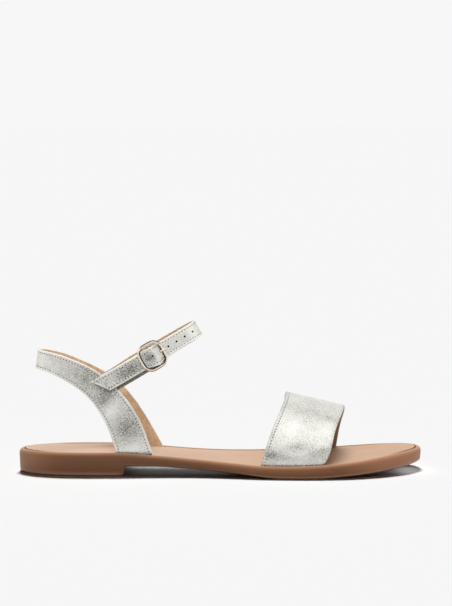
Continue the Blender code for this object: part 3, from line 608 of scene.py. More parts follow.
def tab_place(k, v):
    """Middle of the buckle tab: k is 0 at its sewn root, 1 and 2 where it leaves the heel strap and runs
    straight, 3 at the bar, 4 once round it, and 5 at the end of its lower layer."""
    w = TAB_W + (v - 0.5) * TAB_WIDTH
    run_y = loop_place(RUN_T)[1] + (STRAP_N - TAB_UPPER_N) / TOE_IN_COS
    leaving = blend(blend(TAB_ROOT_A, ANKLE_LEAVE_A, passed(k, 0)), ANKLE_RUN_A, passed(k, 1))
    root = end_place(leaving, w, -1, -STRAP_THICKNESS / 2, run_y)
    first_t, first_n = round_bar(0.0)
    bar_t, bar_n = round_bar(passed(k, 3))
    last_t, last_n = round_bar(1.0)
    upper_t = blend(RUN_T, first_t, passed(k, 2))
    upper_n = blend(TAB_UPPER_N, first_n, eased(upper_t, -TAB_RISE_T, first_t))
    lower_t = blend(last_t, TAB_END_T, passed(k, 4))
    lower_n = blend(last_n, TAB_LOWER_N, eased(-lower_t, -last_t, TAB_CLOSE_T))
    t = np.where(k < 3, upper_t, np.where(k < 4, bar_t, lower_t))
    n = np.where(k < 3, upper_n, np.where(k < 4, bar_n, lower_n))
    return np.where(np.broadcast_to(k, w.shape)[..., None] < 2, root, to_buckle(t, n, w))


# Mesh helpers


def add_piece(mesh, finish, node=None):
    """Puts a mesh in the scene under its own name; node is the solid that it stands for."""
    piece = bpy.data.objects.new(mesh.name, mesh)
    bpy.context.scene.collection.objects.link(piece)
    SHOE_GROUP.objects.link(piece)
    mesh.materials.append(finish)
    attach(piece, "root")
    if node:
        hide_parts(node)
    return piece


def mesh_from(bm, name, sharp=None):
    bmesh.ops.scale(bm, vec=Vector((MM, MM, MM)), verts=bm.verts)
    mesh = bpy.data.meshes.new(name)
    bm.to_mesh(mesh)
    bm.free()
    mesh.shade_smooth()
    if sharp:
        mesh.set_sharp_from_angle(angle=math.radians(sharp))
    return mesh


def turn_faces_out(bm):
    bm.normal_update()
    bmesh.ops.recalc_face_normals(bm, faces=bm.faces)


def fill_ends(bm):
    rim = [edge for edge in bm.edges if edge.is_boundary]
    bmesh.ops.holes_fill(bm, edges=rim, sides=0)


def add_ring(bm, points):
    """A closed loop of edges through the points."""
    verts = [bm.verts.new(point) for point in points]
    return [bm.edges.new((a, b)) for a, b in zip(verts, verts[1:] + verts[:1])], verts


def join_rings(bm, loops):
    for edges, next_edges in zip(loops, loops[1:]):
        bmesh.ops.bridge_loops(bm, edges=edges + next_edges)


def ladder(bm, verts):
    """Fills a loop that is long in X by rungs between its two sides, from the heel's end to the toe."""
    half = len(verts) // 2
    near, far = verts[: half + 1], [verts[0]] + verts[: half - 1 : -1]
    for i in range(half):
        corners = [near[i], near[i + 1], far[i + 1], far[i]]
        bm.faces.new(list(dict.fromkeys(corners)))


def loft(rings, name, sharp, levels):
    """A closed skin through rings of equal length, both ends filled; levels marks each ring's height."""
    bm = bmesh.new()
    mark = bm.verts.layers.float.new("level")
    loops = [add_ring(bm, points) for points in rings]
    for (_, verts), level in zip(loops, levels):
        for vert in verts:
            vert[mark] = level
    join_rings(bm, [edges for edges, _ in loops])
    ladder(bm, loops[0][1])
    ladder(bm, loops[-1][1])
    turn_faces_out(bm)
    return mesh_from(bm, name, sharp)


def wrapped(grid):
    """The places of a grid one after the other, each row's first one again at its end."""
    again = np.concatenate([grid, grid[:, :1]], axis=1)
    return again.reshape(-1, *grid.shape[2:])


def rolled_grid(points, name, rows=None, tones=None):
    """A grid rolled up across its columns into a closed skin, its two ends filled.

    rows tells each point's place by its stitch row, and tones how dark the foil is there."""
    count, columns = points.shape[:2]
    bm = bmesh.new()
    bmesh.ops.create_grid(bm, x_segments=columns, y_segments=count - 1, size=1.0)
    bm.verts.ensure_lookup_table()
    if rows is not None:
        layer = bm.loops.layers.uv.new("stitch")
        flat = wrapped(rows)
        for face in bm.faces:
            for loop in face.loops:
                loop[layer].uv = flat[loop.vert.index]
        mark = bm.verts.layers.float.new("tone")
        for vert, tone in zip(bm.verts, wrapped(tones)):
            vert[mark] = tone
    for vert, point in zip(bm.verts, wrapped(points)):
        vert.co = point
    bmesh.ops.remove_doubles(bm, verts=bm.verts, dist=1e-5)
    fill_ends(bm)
    turn_faces_out(bm)
    return mesh_from(bm, name, sharp=60)


def tube(path, radii, across, closed=False, flat=1.0):
    """A bent bar along a path, squeezed by flat along the direction across.

    On a closed one, marks tell its inner side from its outer one, and how far that faces up."""
    path = np.asarray(path, float)
    if closed:
        tangents = np.roll(path, -1, 0) - np.roll(path, 1, 0)
    else:
        tangents = np.gradient(path, axis=0)
    bm = bmesh.new()
    inner = bm.verts.layers.float.new("inner")
    upward = bm.verts.layers.float.new("upward")
    turns = np.linspace(0, 2 * math.pi, TUBE_SIDES, endpoint=False)
    loops = []
    for place, tangent, radius in zip(path, unit(tangents), np.broadcast_to(radii, len(path))):
        side = unit(np.cross(tangent, across))
        up = np.cross(side, tangent)
        ring = [place + radius * (math.cos(q) * side + flat * math.sin(q) * up) for q in turns]
        edges, verts = add_ring(bm, ring)
        for vert, q in zip(verts, turns):
            vert[inner] = -math.cos(q)
            vert[upward] = side[2]
        loops.append(edges)
    join_rings(bm, loops + loops[:1] if closed else loops)
    if not closed:
        fill_ends(bm)
    turn_faces_out(bm)
    return bm


def cut_with(piece, bm, name):
    """Cuts a hole through a piece for good."""
    cutter = bpy.data.objects.new(name, mesh_from(bm, name))
    cutter.data.materials.append(CUT_EDGE)
    bpy.context.scene.collection.objects.link(cutter)
    cut = piece.modifiers.new(name, "BOOLEAN")
    cut.operation = "DIFFERENCE"
    cut.object = cutter
    cut.material_mode = "TRANSFER"
    graph = bpy.context.evaluated_depsgraph_get()
    mesh = bpy.data.meshes.new_from_object(piece.evaluated_get(graph))
    piece.modifiers.clear()
    piece.data = mesh
    bpy.data.objects.remove(cutter)


# Straps as layers


class Strap:
    """A strap's surface, sampled at even steps along it; outward is 1 or -1 and turns its normals out.

    stitched tells how far its stitch rows lie from the lower and the upper edge, or None."""

    def __init__(self, place, start, end, spacing, outward, stitched, extra=()):
        self.place = place
        self.outward = outward
        self.stitched = stitched
        fine = np.linspace(start, end, FINE_STATIONS)[:, None]
        length = lengths_along(place(fine, np.full_like(fine, 0.5))[:, 0])
        count = int(length[-1] / spacing)
        even = np.interp(np.linspace(0, length[-1], count), length, fine[:, 0])
        self.stations = np.unique(np.concatenate([even, extra]))[:, None]
        lower, middle, upper = (self.at(np.full_like(self.stations, v))[:, 0] for v in (0.0, 0.5, 1.0))
        self.width = np.linalg.norm(upper - lower, axis=1)[:, None]
        self.along = lengths_along(middle)[:, None]

    def at(self, v):
        return self.place(np.broadcast_to(self.stations, v.shape), v)

    def columns(self, from_edge, middle, set_in):
        """Shares across the strap: distances from each edge, then evenly spaced columns between them."""
        near = (from_edge + set_in[0])[None, :] / self.width
        far = 1 - (from_edge[::-1] + set_in[1])[None, :] / self.width
        share = np.linspace(0, 1, middle + 2)[None, 1:-1]
        return np.concatenate([near, blend(near[:, -1:], far[:, :1], share), far], axis=1)

    def normals(self, points):
        return self.outward * unit(np.cross(np.gradient(points, axis=0), np.gradient(points, axis=1)))

    def line(self, inset, from_upper=False):
        """Points and normals along a line at a distance from the lower or the upper edge."""
        middle = 1 - inset / self.width if from_upper else inset / self.width
        step = 0.2 / self.width
        points = self.at(np.concatenate([middle - step, middle, middle + step], axis=1))
        return points[:, 1], self.normals(points)[:, 1]

    def stitch_lines(self):
        """Points and normals along each of its stitch rows."""
        return [self.line(inset, upper) for upper, inset in enumerate(self.stitched) if inset]


def crease_relief(creases, along, across):
    """Height that the listed creases add at each place of a strap."""
    height = np.zeros_like(along)
    for crease in creases:
        run = np.array([crease.to_along - crease.along, crease.to_across - crease.across])
        length = np.hypot(*run)
        run = run / length
        offset = np.stack([along - crease.along, across - crease.across], -1)
        way = offset @ run
        away = offset[..., 0] * run[1] - offset[..., 1] * run[0]
        past = np.maximum(np.maximum(-way, way - length), 0.0)
        height -= crease.depth * falloff(away, crease.width) * falloff(past, 1.5 * crease.width)
    return height


def patch_tone(patches, along, across):
    """How dark the listed patches of painted light and shade make the foil at each place of a strap."""
    tone = np.zeros_like(along)
    for patch in patches:
        near = falloff(along - patch.along, patch.long) * falloff(across - patch.across, patch.wide)
        tone += patch.shade * near
    return tone


def stitch_groove(off):
    """Height near a stitch row: drawn in along it, and puffed up on the edge's side of it."""
    return PUFF_HEIGHT * falloff(off + PUFF_OFF, PUFF_REACH) - GROOVE_DEPTH * falloff(off, GROOVE_REACH)


def edge_columns(radius, stitch_in):
    """Distances from an edge for a round fold, and on over the stitch row if there is one."""
    fold = radius * (1 - np.cos(QUARTER_TURN))
    if stitch_in is None:
        return fold
    row = stitch_in + np.array([-0.75, -0.45, -0.2, 0.0, 0.2, 0.45, 0.8, 1.3])
    return np.concatenate([fold, row[row > radius + 0.1]])


def round_fold(distance, radius, least=0.0):
    """How far a round edge has risen to its full height, this distance in from it."""
    return np.sqrt(np.clip(1 - (1 - np.minimum(distance / radius, 1)) ** 2, least, 1))


def keep_nearer(rows, along, off):
    """Notes this stitch row at the places that lie nearer to it than to the rows before."""
    nearer = np.abs(off) < np.abs(rows[..., 1])
    rows[..., 0] = np.where(nearer, along, rows[..., 0])
    rows[..., 1] = np.where(nearer, off, rows[..., 1])


def there_and_back(face, back):
    """Columns over the face of a layer, then back under it."""
    return np.concatenate([face, back[:, -2:0:-1]], axis=1)


def under_tip(points):
    """Painted shadow of the ankle strap's free end on the heel strap just below it: how dark."""
    x, z = points[..., 0] - BUCKLE_X, points[..., 2] - BUCKLE_Z
    a = x * SLOPE_COS + z * SLOPE_SIN
    w = z * SLOPE_COS - x * SLOPE_SIN
    past = np.maximum((tip_cut(w) - a) * TIP_SLANT, 0.0)
    below = np.maximum(-ANKLE_WIDTH / 2 - w, 0.0)
    near = falloff(past, TIP_SHADE_REACH) * falloff(below, TIP_SHADE_REACH)
    lateral = points[..., 1] < HEEL_AXIS_Y
    return np.where(lateral, TIP_SHADE * near * eased(-w, TIP_SHADE_FROM, TIP_SHADE_TO), 0.0)


def layer_points(strap, outer, inner, middle, stitch_in=None, set_in=(0.0, 0.0), creases=(), patches=(),
                 tip=None, shadow=None, edge_tone=EDGE_TONE):
    """Rings round one layer of a strap, from depth outer to depth inner, its edges folded round.

    Also gives how far along and off its nearest stitch row each point lies, and the foil's tone."""
    radius = (inner - outer) / 2
    shares = strap.columns(edge_columns(radius, stitch_in), middle, set_in)
    points = strap.at(shares)
    normals = strap.normals(points)
    low = shares * strap.width - set_in[0]
    high = (1 - shares) * strap.width - set_in[1]
    edge = np.minimum(low, high)
    fold = round_fold(edge, radius)
    along = np.broadcast_to(strap.along, low.shape)
    relief = crease_relief(creases, along, low)
    rows = np.stack([along, np.full_like(along, NO_ROW)], -1)
    for upper, (distance, from_row) in enumerate(zip((low, high), strap.stitched)):
        if stitch_in and from_row:
            off = distance - from_row
            relief = relief + stitch_groove(off)
            keep_nearer(rows, lengths_along(strap.line(from_row, upper)[0])[:, None], off)
    if tip:
        from_cut = tip(strap, shares)
        fold = fold * round_fold(from_cut, radius, least=0.02)
        edge = np.minimum(edge, from_cut)
        off = from_cut - ANKLE_STITCH_IN
        keep_nearer(rows, (low - ANKLE_STITCH_IN) / TIP_SLANT, off)
        if stitch_in:
            relief = relief + stitch_groove(off)
    shrink = fold[..., None] * radius
    centre = points - normals * ((outer + inner) / 2)
    face = centre + normals * (shrink + (relief * fold)[..., None])
    edge_shade, edge_reach = edge_tone
    tones = patch_tone(patches, along, low) + edge_shade * falloff(edge, edge_reach)
    if shadow:
        tones = tones + shadow(points)
    ring = there_and_back(face, centre - normals * shrink)
    return ring, there_and_back(rows, np.full_like(rows, NO_ROW)), there_and_back(tones, tones)


def stitch_row(bm, points, normals, skipped=0):
    """Lays threads end to end along a line on a strap's face, leaving out the first few."""
    length = lengths_along(points)
    start = STITCH_START + skipped * STITCH_PITCH
    count = int((length[-1] - start - STITCH_START) / STITCH_PITCH)
    shape = Matrix.Diagonal((STITCH_LENGTH / 2, THREAD_WIDTH / 2, THREAD_HEIGHT / 2, 1.0))
    for i in range(count):
        middle = start + (i + 0.5) * STITCH_PITCH
        places = np.array([middle - STITCH_LENGTH / 2, middle, middle + STITCH_LENGTH / 2])
        tail, place, head = (Vector(point) for point in points_at(places, length, points))
        tangent = (head - tail).normalized()
        side = Vector(points_at(middle, length, normals)).cross(tangent).normalized()
        up = tangent.cross(side)
        turn = Matrix((tangent, side, up)).transposed().to_4x4()
        spot = Matrix.Translation(place + up * THREAD_LIFT)
        bmesh.ops.create_icosphere(bm, subdivisions=1, radius=1.0, matrix=spot @ turn @ shape)


# Shader nodes


class Socket:
    """A node's output in one material; arithmetic with it adds Math nodes."""

    def __init__(self, tree, output=None):
        self.tree = tree
        self.output = output

    def node(self, kind, settings=None, inputs=None, output=0):
        """Adds a node: its settings first, then the values or links of its sockets."""
        made = self.tree.nodes.new(kind)
        for name, value in (settings or {}).items():
            setattr(made, name, value)
        for name, value in (inputs or {}).items():
            set_input(made.inputs[name], value)
        return Socket(self.tree, made.outputs[output])

    def math(self, operation, *values, clamp=False):
        settings = {"operation": operation, "use_clamp": clamp}
        return self.node("ShaderNodeMath", settings, dict(enumerate(values)))

    def __add__(self, other):
        return self.math("ADD", self, other)

    def __sub__(self, other):
        return self.math("SUBTRACT", self, other)

    def __rsub__(self, other):
        return self.math("SUBTRACT", other, self)

    def __mul__(self, other):
        return self.math("MULTIPLY", self, other)

    __radd__ = __add__
    __rmul__ = __mul__

    def clamped(self):
        return self.math("ADD", self, 0.0, clamp=True)

    def eased(self, low, high, start=0.0, end=1.0):
        """Smooth step of this value from start to end as it goes from low to high."""
        inputs = {"Value": self, "From Min": low, "From Max": high, "To Min": start, "To Max": end}
        return self.node("ShaderNodeMapRange", {"interpolation_type": "SMOOTHSTEP"}, inputs)

    def scaled(self, size):
        """This vector times a number."""
        inputs = {0: self, 1: (size, size, size)}
        return self.node("ShaderNodeVectorMath", {"operation": "MULTIPLY"}, inputs)

    def noise(self, scale, detail, roughness=0.5):
        """Cloudy noise of this vector, about 0.5 in the middle."""
        inputs = {"Vector": self, "Scale": scale, "Detail": detail, "Roughness": roughness}
        return self.node("ShaderNodeTexNoise", None, inputs)

    def cells(self, scale):
        """Distance to the nearest crack between random cells."""
        inputs = {"Vector": self, "Scale": scale}
        return self.node("ShaderNodeTexVoronoi", {"feature": "DISTANCE_TO_EDGE"}, inputs)

    def mark(self, name):
        """A number that the mesh carries at each point."""
        return self.node("ShaderNodeAttribute", {"attribute_name": name}, output=2)

    def part(self, axis):
        """One component of this vector."""
        return self.node("ShaderNodeSeparateXYZ", None, {0: self}, output=axis)

    def mixed(self, low, high):
        """Colour between low and high by this factor."""
        return self.node("ShaderNodeMix", {"data_type": "RGBA"}, {0: self, 6: low, 7: high}, output=2)

    def bumped(self, strength, distance):
        """A normal from this height; distance is in millimetres."""
        inputs = {"Height": self, "Strength": strength, "Distance": distance * MM}
        return self.node("ShaderNodeBump", None, inputs)


def set_input(socket, value):
    """Links a node's input to a Socket, or sets it to a plain value."""
    if isinstance(value, Socket):
        value.tree.links.new(value.output, socket)
    else:
        socket.default_value = value


def colour(red, green, blue):
    """A colour given as it shows on a screen, 0 to 255, as the shader wants it."""
    shown = [value / 255 for value in (red, green, blue)]
    linear = [v / 12.92 if v <= 0.04045 else ((v + 0.055) / 1.055) ** 2.4 for v in shown]
    return (*linear, 1.0)


def feed(shader, **inputs):
    """Links or sets the shader's inputs; names use _ for a space."""
    for name, value in inputs.items():
        set_input(shader.inputs[name.replace("_", " ").title().replace("Ior", "IOR")], value)


def make_finish(name, look, *options):
    """A material whose shader gets what a look works out from the place on the shoe in millimetres."""
    finish = bpy.data.materials.new(name)
    finish.use_nodes = True
    place = Socket(finish.node_tree).node("ShaderNodeTexCoord", output=3).scaled(1 / MM)
    feed(finish.node_tree.nodes["Principled BSDF"], **look(place, *options))
    return finish


def silver_leather(place):
    """Foiled leather: fine crackle and specks in a soft silver face, with the straps' painted light and
    shade, and needle holes painted dark on its stitch rows.
    """
    cloud = place.noise(0.10, 3.0, 0.55)
    speck = place.noise(1.5, 3.0, 0.75)
    crackle = place.cells(1.5).eased(0.0, 0.18)
    # tone is the painted light and shade that the straps carry; worn is part wear, from the cloud, and part
    # painted shade, from the tone, and it darkens the specks and crackle
    tone = place.mark("tone")
    worn = (tone * 1.3 + (cloud - 0.5) * 0.9 + 0.26).clamped()
    specks = speck.eased(0.40, 0.54, 1.0, 0.0) * (0.16 + 0.8 * worn)
    dark = specks + (1 - crackle) * (0.05 + 0.2 * worn)
    shade = (dark + 0.65 * tone + (cloud - 0.5) * 0.12 + 0.06).clamped()
    rows = place.node("ShaderNodeUVMap", {"uv_map": "stitch"})
    along = place.math("FLOORED_MODULO", rows.part(0) - STITCH_START, STITCH_PITCH)
    near_end = place.math("MINIMUM", along, STITCH_PITCH - along)
    off = place.math("ABSOLUTE", rows.part(1))
    gap = STITCH_PITCH - STITCH_LENGTH
    hole = near_end.eased(gap * 0.35, gap * 0.8, 1.0, 0.0) * off.eased(0.18, 0.36, 1.0, 0.0)
    face = shade.mixed(colour(238, 237, 230), colour(97, 93, 85))
    # Painted shade: the needle holes are dark, as the shade inside them
    face = hole.mixed(face, colour(52, 48, 43))
    rough = 0.33 + 0.10 * worn + 0.10 * dark
    metal = (0.88 - 0.25 * shade) * (1 - hole)
    height = crackle * 0.6 + speck * 0.6 - hole * 4.0
    return dict(base_color=face, roughness=rough, metallic=metal, normal=height.bumped(0.3, 0.1))


def lining_leather(place, tone):
    """Tan split lining: matt, with a short nap."""
    nap = place.noise(0.9, 4.0, 0.8)
    cloud = place.noise(0.16, 2.0)
    shade = (0.8 * nap + 0.35 * cloud).eased(0.42, 0.72)
    dark = tuple(0.6 * part for part in tone[:3])
    face = shade.mixed((*dark, 1.0), tone)
    return dict(base_color=face, roughness=0.75 + 0.2 * nap, normal=nap.bumped(0.6, 0.3))


def insole_cover(place):
    """Smooth tan cover with a faint fine grain, and walls painted dark, as shade in the gap along the rim.
    """
    grain = place.cells(1.3)
    fine = place.noise(2.6, 3.0, 0.6)
    cloud = place.noise(0.05, 2.0)
    shade = (0.5 * cloud + 0.3 * fine + 0.25 * grain.eased(0.0, 0.2)).eased(0.25, 0.75)
    face = shade.mixed(colour(202, 168, 142), colour(213, 180, 156))
    fore = place.part(0).eased(-40.0, 40.0)
    face = fore.mixed(face, shade.mixed(colour(192, 155, 127), colour(204, 168, 139)))
    # Painted shade on the walls, as in the gap along the rim
    wall = place.mark("level").eased(0.15, 0.4, 1.0, 0.0)
    face = wall.mixed(face, colour(88, 58, 40))
    height = grain.eased(0.0, 0.25) + 0.4 * fine
    return dict(base_color=face, roughness=0.52 + 0.14 * fine, normal=height.bumped(0.16, 0.06))


def brown_rubber(place):
    """Moulded sole: satin brown, lighter to its toe and rear end, with painted highlights along its rounded
    top edge and above its bottom edge, and a ribbed tread.
    """
    cloud = place.noise(0.06, 3.0)
    fine = place.noise(1.7, 3.0, 0.65)
    level = place.mark("level")
    along = place.part(0)
    heel = along.eased(-122.0, -85.0) * along.eased(-40.0, 20.0, 1.0, 0.0)
    face = (0.65 * cloud + 0.35 * fine).eased(0.3, 0.7)
    face = face.mixed(colour(124, 83, 57), colour(132, 90, 63))
    face = along.eased(70.0, 105.0).mixed(face, colour(166, 116, 85))
    face = along.eased(-124.0, -98.0, 0.6, 0.0).mixed(face, colour(158, 113, 85))
    face = (heel * 0.7).mixed(face, colour(108, 72, 50))
    # Painted highlight along the rounded top edge of the rim
    face = level.eased(0.66, 1.0).mixed(face, colour(186, 142, 112))
    # Painted highlight just above the bottom edge, as light from the floor; left out under the arch
    shank = along.eased(-64.0, -60.0) * along.eased(5.0, 35.0, 1.0, 0.0)
    low_edge = level.eased(0.16, 0.3, 0.6, 0.0) * (1 - 0.8 * shank)
    face = low_edge.mixed(face, colour(196, 156, 130))
    down = place.node("ShaderNodeNewGeometry", output=1).part(2).eased(-0.9, -0.6, 1.0, 0.0)
    ribs = place.node("ShaderNodeTexWave", {"bands_direction": "X"}, {"Vector": place, "Scale": 0.11})
    height = 0.5 * fine + down * ribs * 4.0
    face = down.mixed(face, colour(84, 68, 58))
    rough = 0.40 + 0.12 * fine
    normal = height.bumped(0.2, 0.12)
    return dict(base_color=face, roughness=rough, normal=normal, specular_ior_level=0.25)


def pale_gold(place, metal, framed):
    """Polished plating with the faint cloud of a tumbled casting; on a frame, reflections are painted: dark
    inside and on the top of its rim, brown on the bottom of it.
    """
    cloud = place.noise(0.7, 3.0)
    face = cloud.eased(0.3, 0.7).mixed(colour(246, 230, 212), colour(254, 242, 226))
    if framed:
        inner = place.mark("inner")
        upward = place.mark("upward")
        # Painted reflections: a brown line on the outer side of the lower rail, a dark line with less metal
        # on the outer side of the upper rail, and a dark band along the inner side, wider on the left rail
        # and fainter on the upper one
        outer = inner.eased(-0.4, -0.15, 1.0, 0.0)
        left = upward.eased(-0.85, -0.6) * upward.eased(0.1, 0.4, 1.0, 0.0)
        face = (upward.eased(-0.9, -0.5, 0.9, 0.0) * outer).mixed(face, colour(164, 122, 94))
        face = (upward.eased(0.5, 0.8, 0.0, 0.95) * outer).mixed(face, colour(34, 32, 30))
        metal = upward.eased(0.5, 0.8, metal, 0.1)
        painted_dark_reflection = upward.eased(0.6, 0.85, 1.0, 0.3) * (inner + 0.3 * left).eased(0.25, 0.5)
        face = painted_dark_reflection.mixed(face, colour(20, 15, 11))
    return dict(base_color=face, metallic=metal, roughness=0.12 + 0.12 * cloud)


def sewing_thread(place):
    """Pale grey twisted thread."""
    twist = place.noise(5.0, 2.0)
    face = twist.eased(0.3, 0.7).mixed(colour(216, 213, 204), colour(242, 240, 233))
    rough = 0.35 + 0.2 * twist
    return dict(base_color=face, metallic=0.6, roughness=rough, normal=twist.bumped(0.4, 0.08))


# Sole


def sole_angles():
    """Angles round the sole, lateral side first, closer together over the heel breast."""
    even = np.linspace(0, math.pi, SOLE_STATIONS + 1)
    corner = BREAST_CORNER * np.sin(np.radians([0.0, 20.0, 40.0, 58.0, 74.0, 86.0]))
    rear, front = HEEL_BREAST_X - BREAST_CORNER + corner, HEEL_BREAST_X + BREAST_CORNER - corner
    breast = np.unique(np.concatenate([rear, front, HEEL_BREAST_X + np.array([-0.001, 0.001])]))
    special = angle_of(breast)
    kept = even[(even < special.min() - 0.01) | (even > special.max() + 0.01)]
    return both_sides(np.sort(np.concatenate([kept, special])))


def ring_at(angles, inset, height, lift=0.0):
    """Outline points moved in by inset, lifted from the height that a curve gives there."""
    plan = outline_points(angles, inset)
    return [(x, y, z) for (x, y), z in zip(plan, height(plan[:, 0]) + lift)]


def build_outsole():
    angles = sole_angles()
    floor = sole_bottom(x_of(angles))
    rings = []
    for turn in QUARTER_TURN:
        inset = WALL_TAPER + TREAD_EDGE * (1 - math.sin(turn))
        rings.append(ring_at(angles, inset, lambda x: floor, TREAD_EDGE * (1 - math.cos(turn))))
    for share in (0.25, 0.5, 0.75):
        rings.append(ring_at(angles, WALL_TAPER * (1 - share),
                             lambda x: blend(floor + TREAD_EDGE, rim_top(x) - RIM_ROUND_DOWN, share)))
    for turn in np.radians([0, 15, 30, 45, 60, 75, 90]):
        inset = RIM_ROUND_IN * (1 - math.cos(turn))
        rings.append(ring_at(angles, inset, rim_top, -RIM_ROUND_DOWN * (1 - math.sin(turn))))
    for turn in np.radians([0, 30, 60, 90]):
        inset = RIM_WIDTH - RIM_INNER_RADIUS * (1 - math.sin(turn))
        rings.append(ring_at(angles, inset, rim_top, -RIM_INNER_RADIUS * (1 - math.cos(turn))))
    rings.append(ring_at(angles, RIM_WIDTH, rim_top, -RECESS_DEPTH))
    levels = np.interp(range(len(rings)), [0, 4, 8, 14, len(rings) - 1], [0.0, 0.2, 0.6, 1.0, 1.0])
    mesh = loft(rings, "outsole_moulding", 40, levels)
    sole = add_piece(mesh, make_finish("brown_rubber", brown_rubber), "outsole")
    SOLE_GROUP.objects.link(sole)


def strap_feet():
    """Where the straps stand, with a little room: side of the sole, rear and front place."""
    heel = HEEL_STRAP[-1]
    shift = heel.medial_shift
    return [
        (-1, heel.lower_x - 1.6, heel.upper_x + 1.0),
        (1, heel.lower_x + shift - 2.0, heel.upper_x + shift + 1.0),
        (-1, VAMP_REAR.lateral_x - VAMP_REAR_FLARE - 0.6, VAMP_FRONT.lateral_x - VAMP_FRONT_TUCK + 0.6),
        (1, VAMP_REAR.medial_x - 0.6, VAMP_FRONT.medial_x + 1.2),
    ]


def insole_inset(angles):
    """How far the insole's edge stays inside the sole's outline: notched for each strap's foot."""
    x = x_of(angles)
    side = np.where(angles < math.pi, -1, 1)
    notch = np.zeros_like(x)
    for foot_side, rear, front in strap_feet():
        here = eased(x, rear - 0.5, rear + 0.1) * eased(-x, -front - 0.5, -front + 0.1)
        notch = np.maximum(notch, np.where(side == foot_side, here, 0.0))
    ends = eased(np.abs(x), GAP_FROM, GAP_TO) * INSOLE_END_GAP
    return RIM_WIDTH + GAP + (STRAP_THICKNESS + GAP) * notch + ends


def insole_top(x):
    """Height of the insole's cover: a little under the rim, and standing up to it at heel and toe."""
    return rim_top(x) - INSOLE_DROP + INSOLE_END_RISE * eased(np.abs(x), RISE_FROM, RISE_TO)


def build_insole():
    dense = np.linspace(0, math.pi, INSOLE_STATIONS)
    busy = np.abs(np.gradient(insole_inset(dense))) > 1e-3
    angles = both_sides(np.unique(np.concatenate([dense[::8], dense[busy]])))
    inset = insole_inset(angles)
    rings = [ring_at(angles, inset, rim_top, GAP - RECESS_DEPTH)]
    for turn in QUARTER_TURN:
        further = inset + INSOLE_EDGE * (1 - math.cos(turn))
        rings.append(ring_at(angles, further, insole_top, -INSOLE_EDGE * (1 - math.sin(turn))))
    for further in COVER_RINGS:
        rings.append(ring_at(angles, inset + INSOLE_EDGE + further, insole_top))
    mesh = loft(rings, "insole_cover", 50, np.linspace(0, 1, len(rings)))
    add_piece(mesh, make_finish("tan_insole", insole_cover), "insole")


# Straps


def add_layers(name, strap, node, thickness, outer, columns, stitch_in, lined, set_in=LINING_SET_IN,
               **relief):
    """The leather face and the lining of one strap; outer is the depth of the leather's face."""
    split = outer + thickness * LEATHER_SHARE
    points, rows, tones = layer_points(strap, outer, split, columns, stitch_in, **relief)
    leather = rolled_grid(points, name + "_leather", rows, tones)
    face = add_piece(leather, SILVER, node)
    inner, tip = outer + thickness, relief.get("tip")
    inside, _, _ = layer_points(strap, split, inner, LINING_COLUMNS, set_in=set_in, tip=tip)
    back = add_piece(rolled_grid(inside, name + "_lining"), lined, node)
    return face, back


def add_threads(name, lines):
    bm = bmesh.new()
    for line in lines:
        stitch_row(bm, *line)
    add_piece(mesh_from(bm, name), THREAD)


def build_vamp():
    end = VAMP_BURIED / BURIED_SCALE
    strap = Strap(vamp_place, -end, 1 + end, VAMP_STEP, -1, (VAMP_STITCH_IN, None))
    add_layers("vamp", strap, "vamp_strap", STRAP_THICKNESS, 0.0, VAMP_COLUMNS, VAMP_STITCH_IN, VAMP_LINING,
               VAMP_LINING_SET_IN, creases=VAMP_CREASES, patches=VAMP_PATCHES, edge_tone=VAMP_EDGE_TONE)
    add_threads("vamp_threads", strap.stitch_lines())


def build_heel():
    last = len(HEEL_STRAP) - 1
    strap = Strap(heel_place, -last, last, HEEL_STEP, -1, (HEEL_STITCH_IN, HEEL_STITCH_IN))
    add_layers("heel_strap", strap, "heel_and_ankle_straps", STRAP_THICKNESS, 0.0, HEEL_COLUMNS,
               HEEL_STITCH_IN, LINING, creases=HEEL_CREASES, patches=HEEL_PATCHES, shadow=under_tip)
    add_threads("heel_strap_threads", strap.stitch_lines())


def from_tip(strap, shares):
    """Distance of each place of the ankle strap from its slanted tip."""
    w = (shares - 0.5) * ANKLE_WIDTH
    on_heel = (ANKLE_LEAVE_A - tip_cut(w)) * passed(strap.stations, 0)
    return on_heel * TIP_SLANT + PAST_TIP * np.maximum(strap.stations - 1, 0)


def tip_line(away):
    """Points and normals of the stitch row along the slanted tip, away from the strap's middle."""
    side = ANKLE_STITCH_IN / ANKLE_WIDTH
    v = np.linspace(side, 1 - side, TIP_POINTS)
    nudge = 0.02
    cut = tip_cut((v - 0.5) * ANKLE_WIDTH)
    k = ANKLE_STITCH_IN / TIP_SLANT / (ANKLE_LEAVE_A - cut)
    points = ankle_place(k, v)
    normals = unit(np.cross(ankle_place(k + nudge, v) - points, ankle_place(k, v + nudge) - points))
    return points + normals * away, normals


def hole_cutters():
    """Rods for the punched holes, which stop just short of the lining's inner face."""
    bm = bmesh.new()
    for step in HOLE_STEPS:
        t = HOLE_T + HOLE_PITCH * step
        a, y, heading = loop_place(t)
        rise = strap_rise(t)
        ends = (rise - ANKLE_THICKNESS / 2 + HOLE_WEB, rise + CUT_REACH)
        start, end = (
            Vector(to_ankle(a + n * math.sin(heading), y - n * math.cos(heading), 0.0)) for n in ends
        )
        axis = end - start
        turn = axis.to_track_quat("Z", "Y").to_matrix().to_4x4()
        spot = Matrix.Translation((start + end) / 2) @ turn
        bmesh.ops.create_cone(bm, cap_ends=True, segments=HOLE_SIDES, radius1=HOLE_RADIUS,
                              radius2=HOLE_RADIUS, depth=axis.length, matrix=spot)
    return bm


def slot_cutter(t, length, width, n, depth):
    bm = bmesh.new()
    bmesh.ops.create_cube(bm, size=1.0)
    for vert in bm.verts:
        along, away, across = vert.co
        vert.co = to_buckle(t + along * length, n + away * depth, across * width)
    turn_faces_out(bm)
    return bm


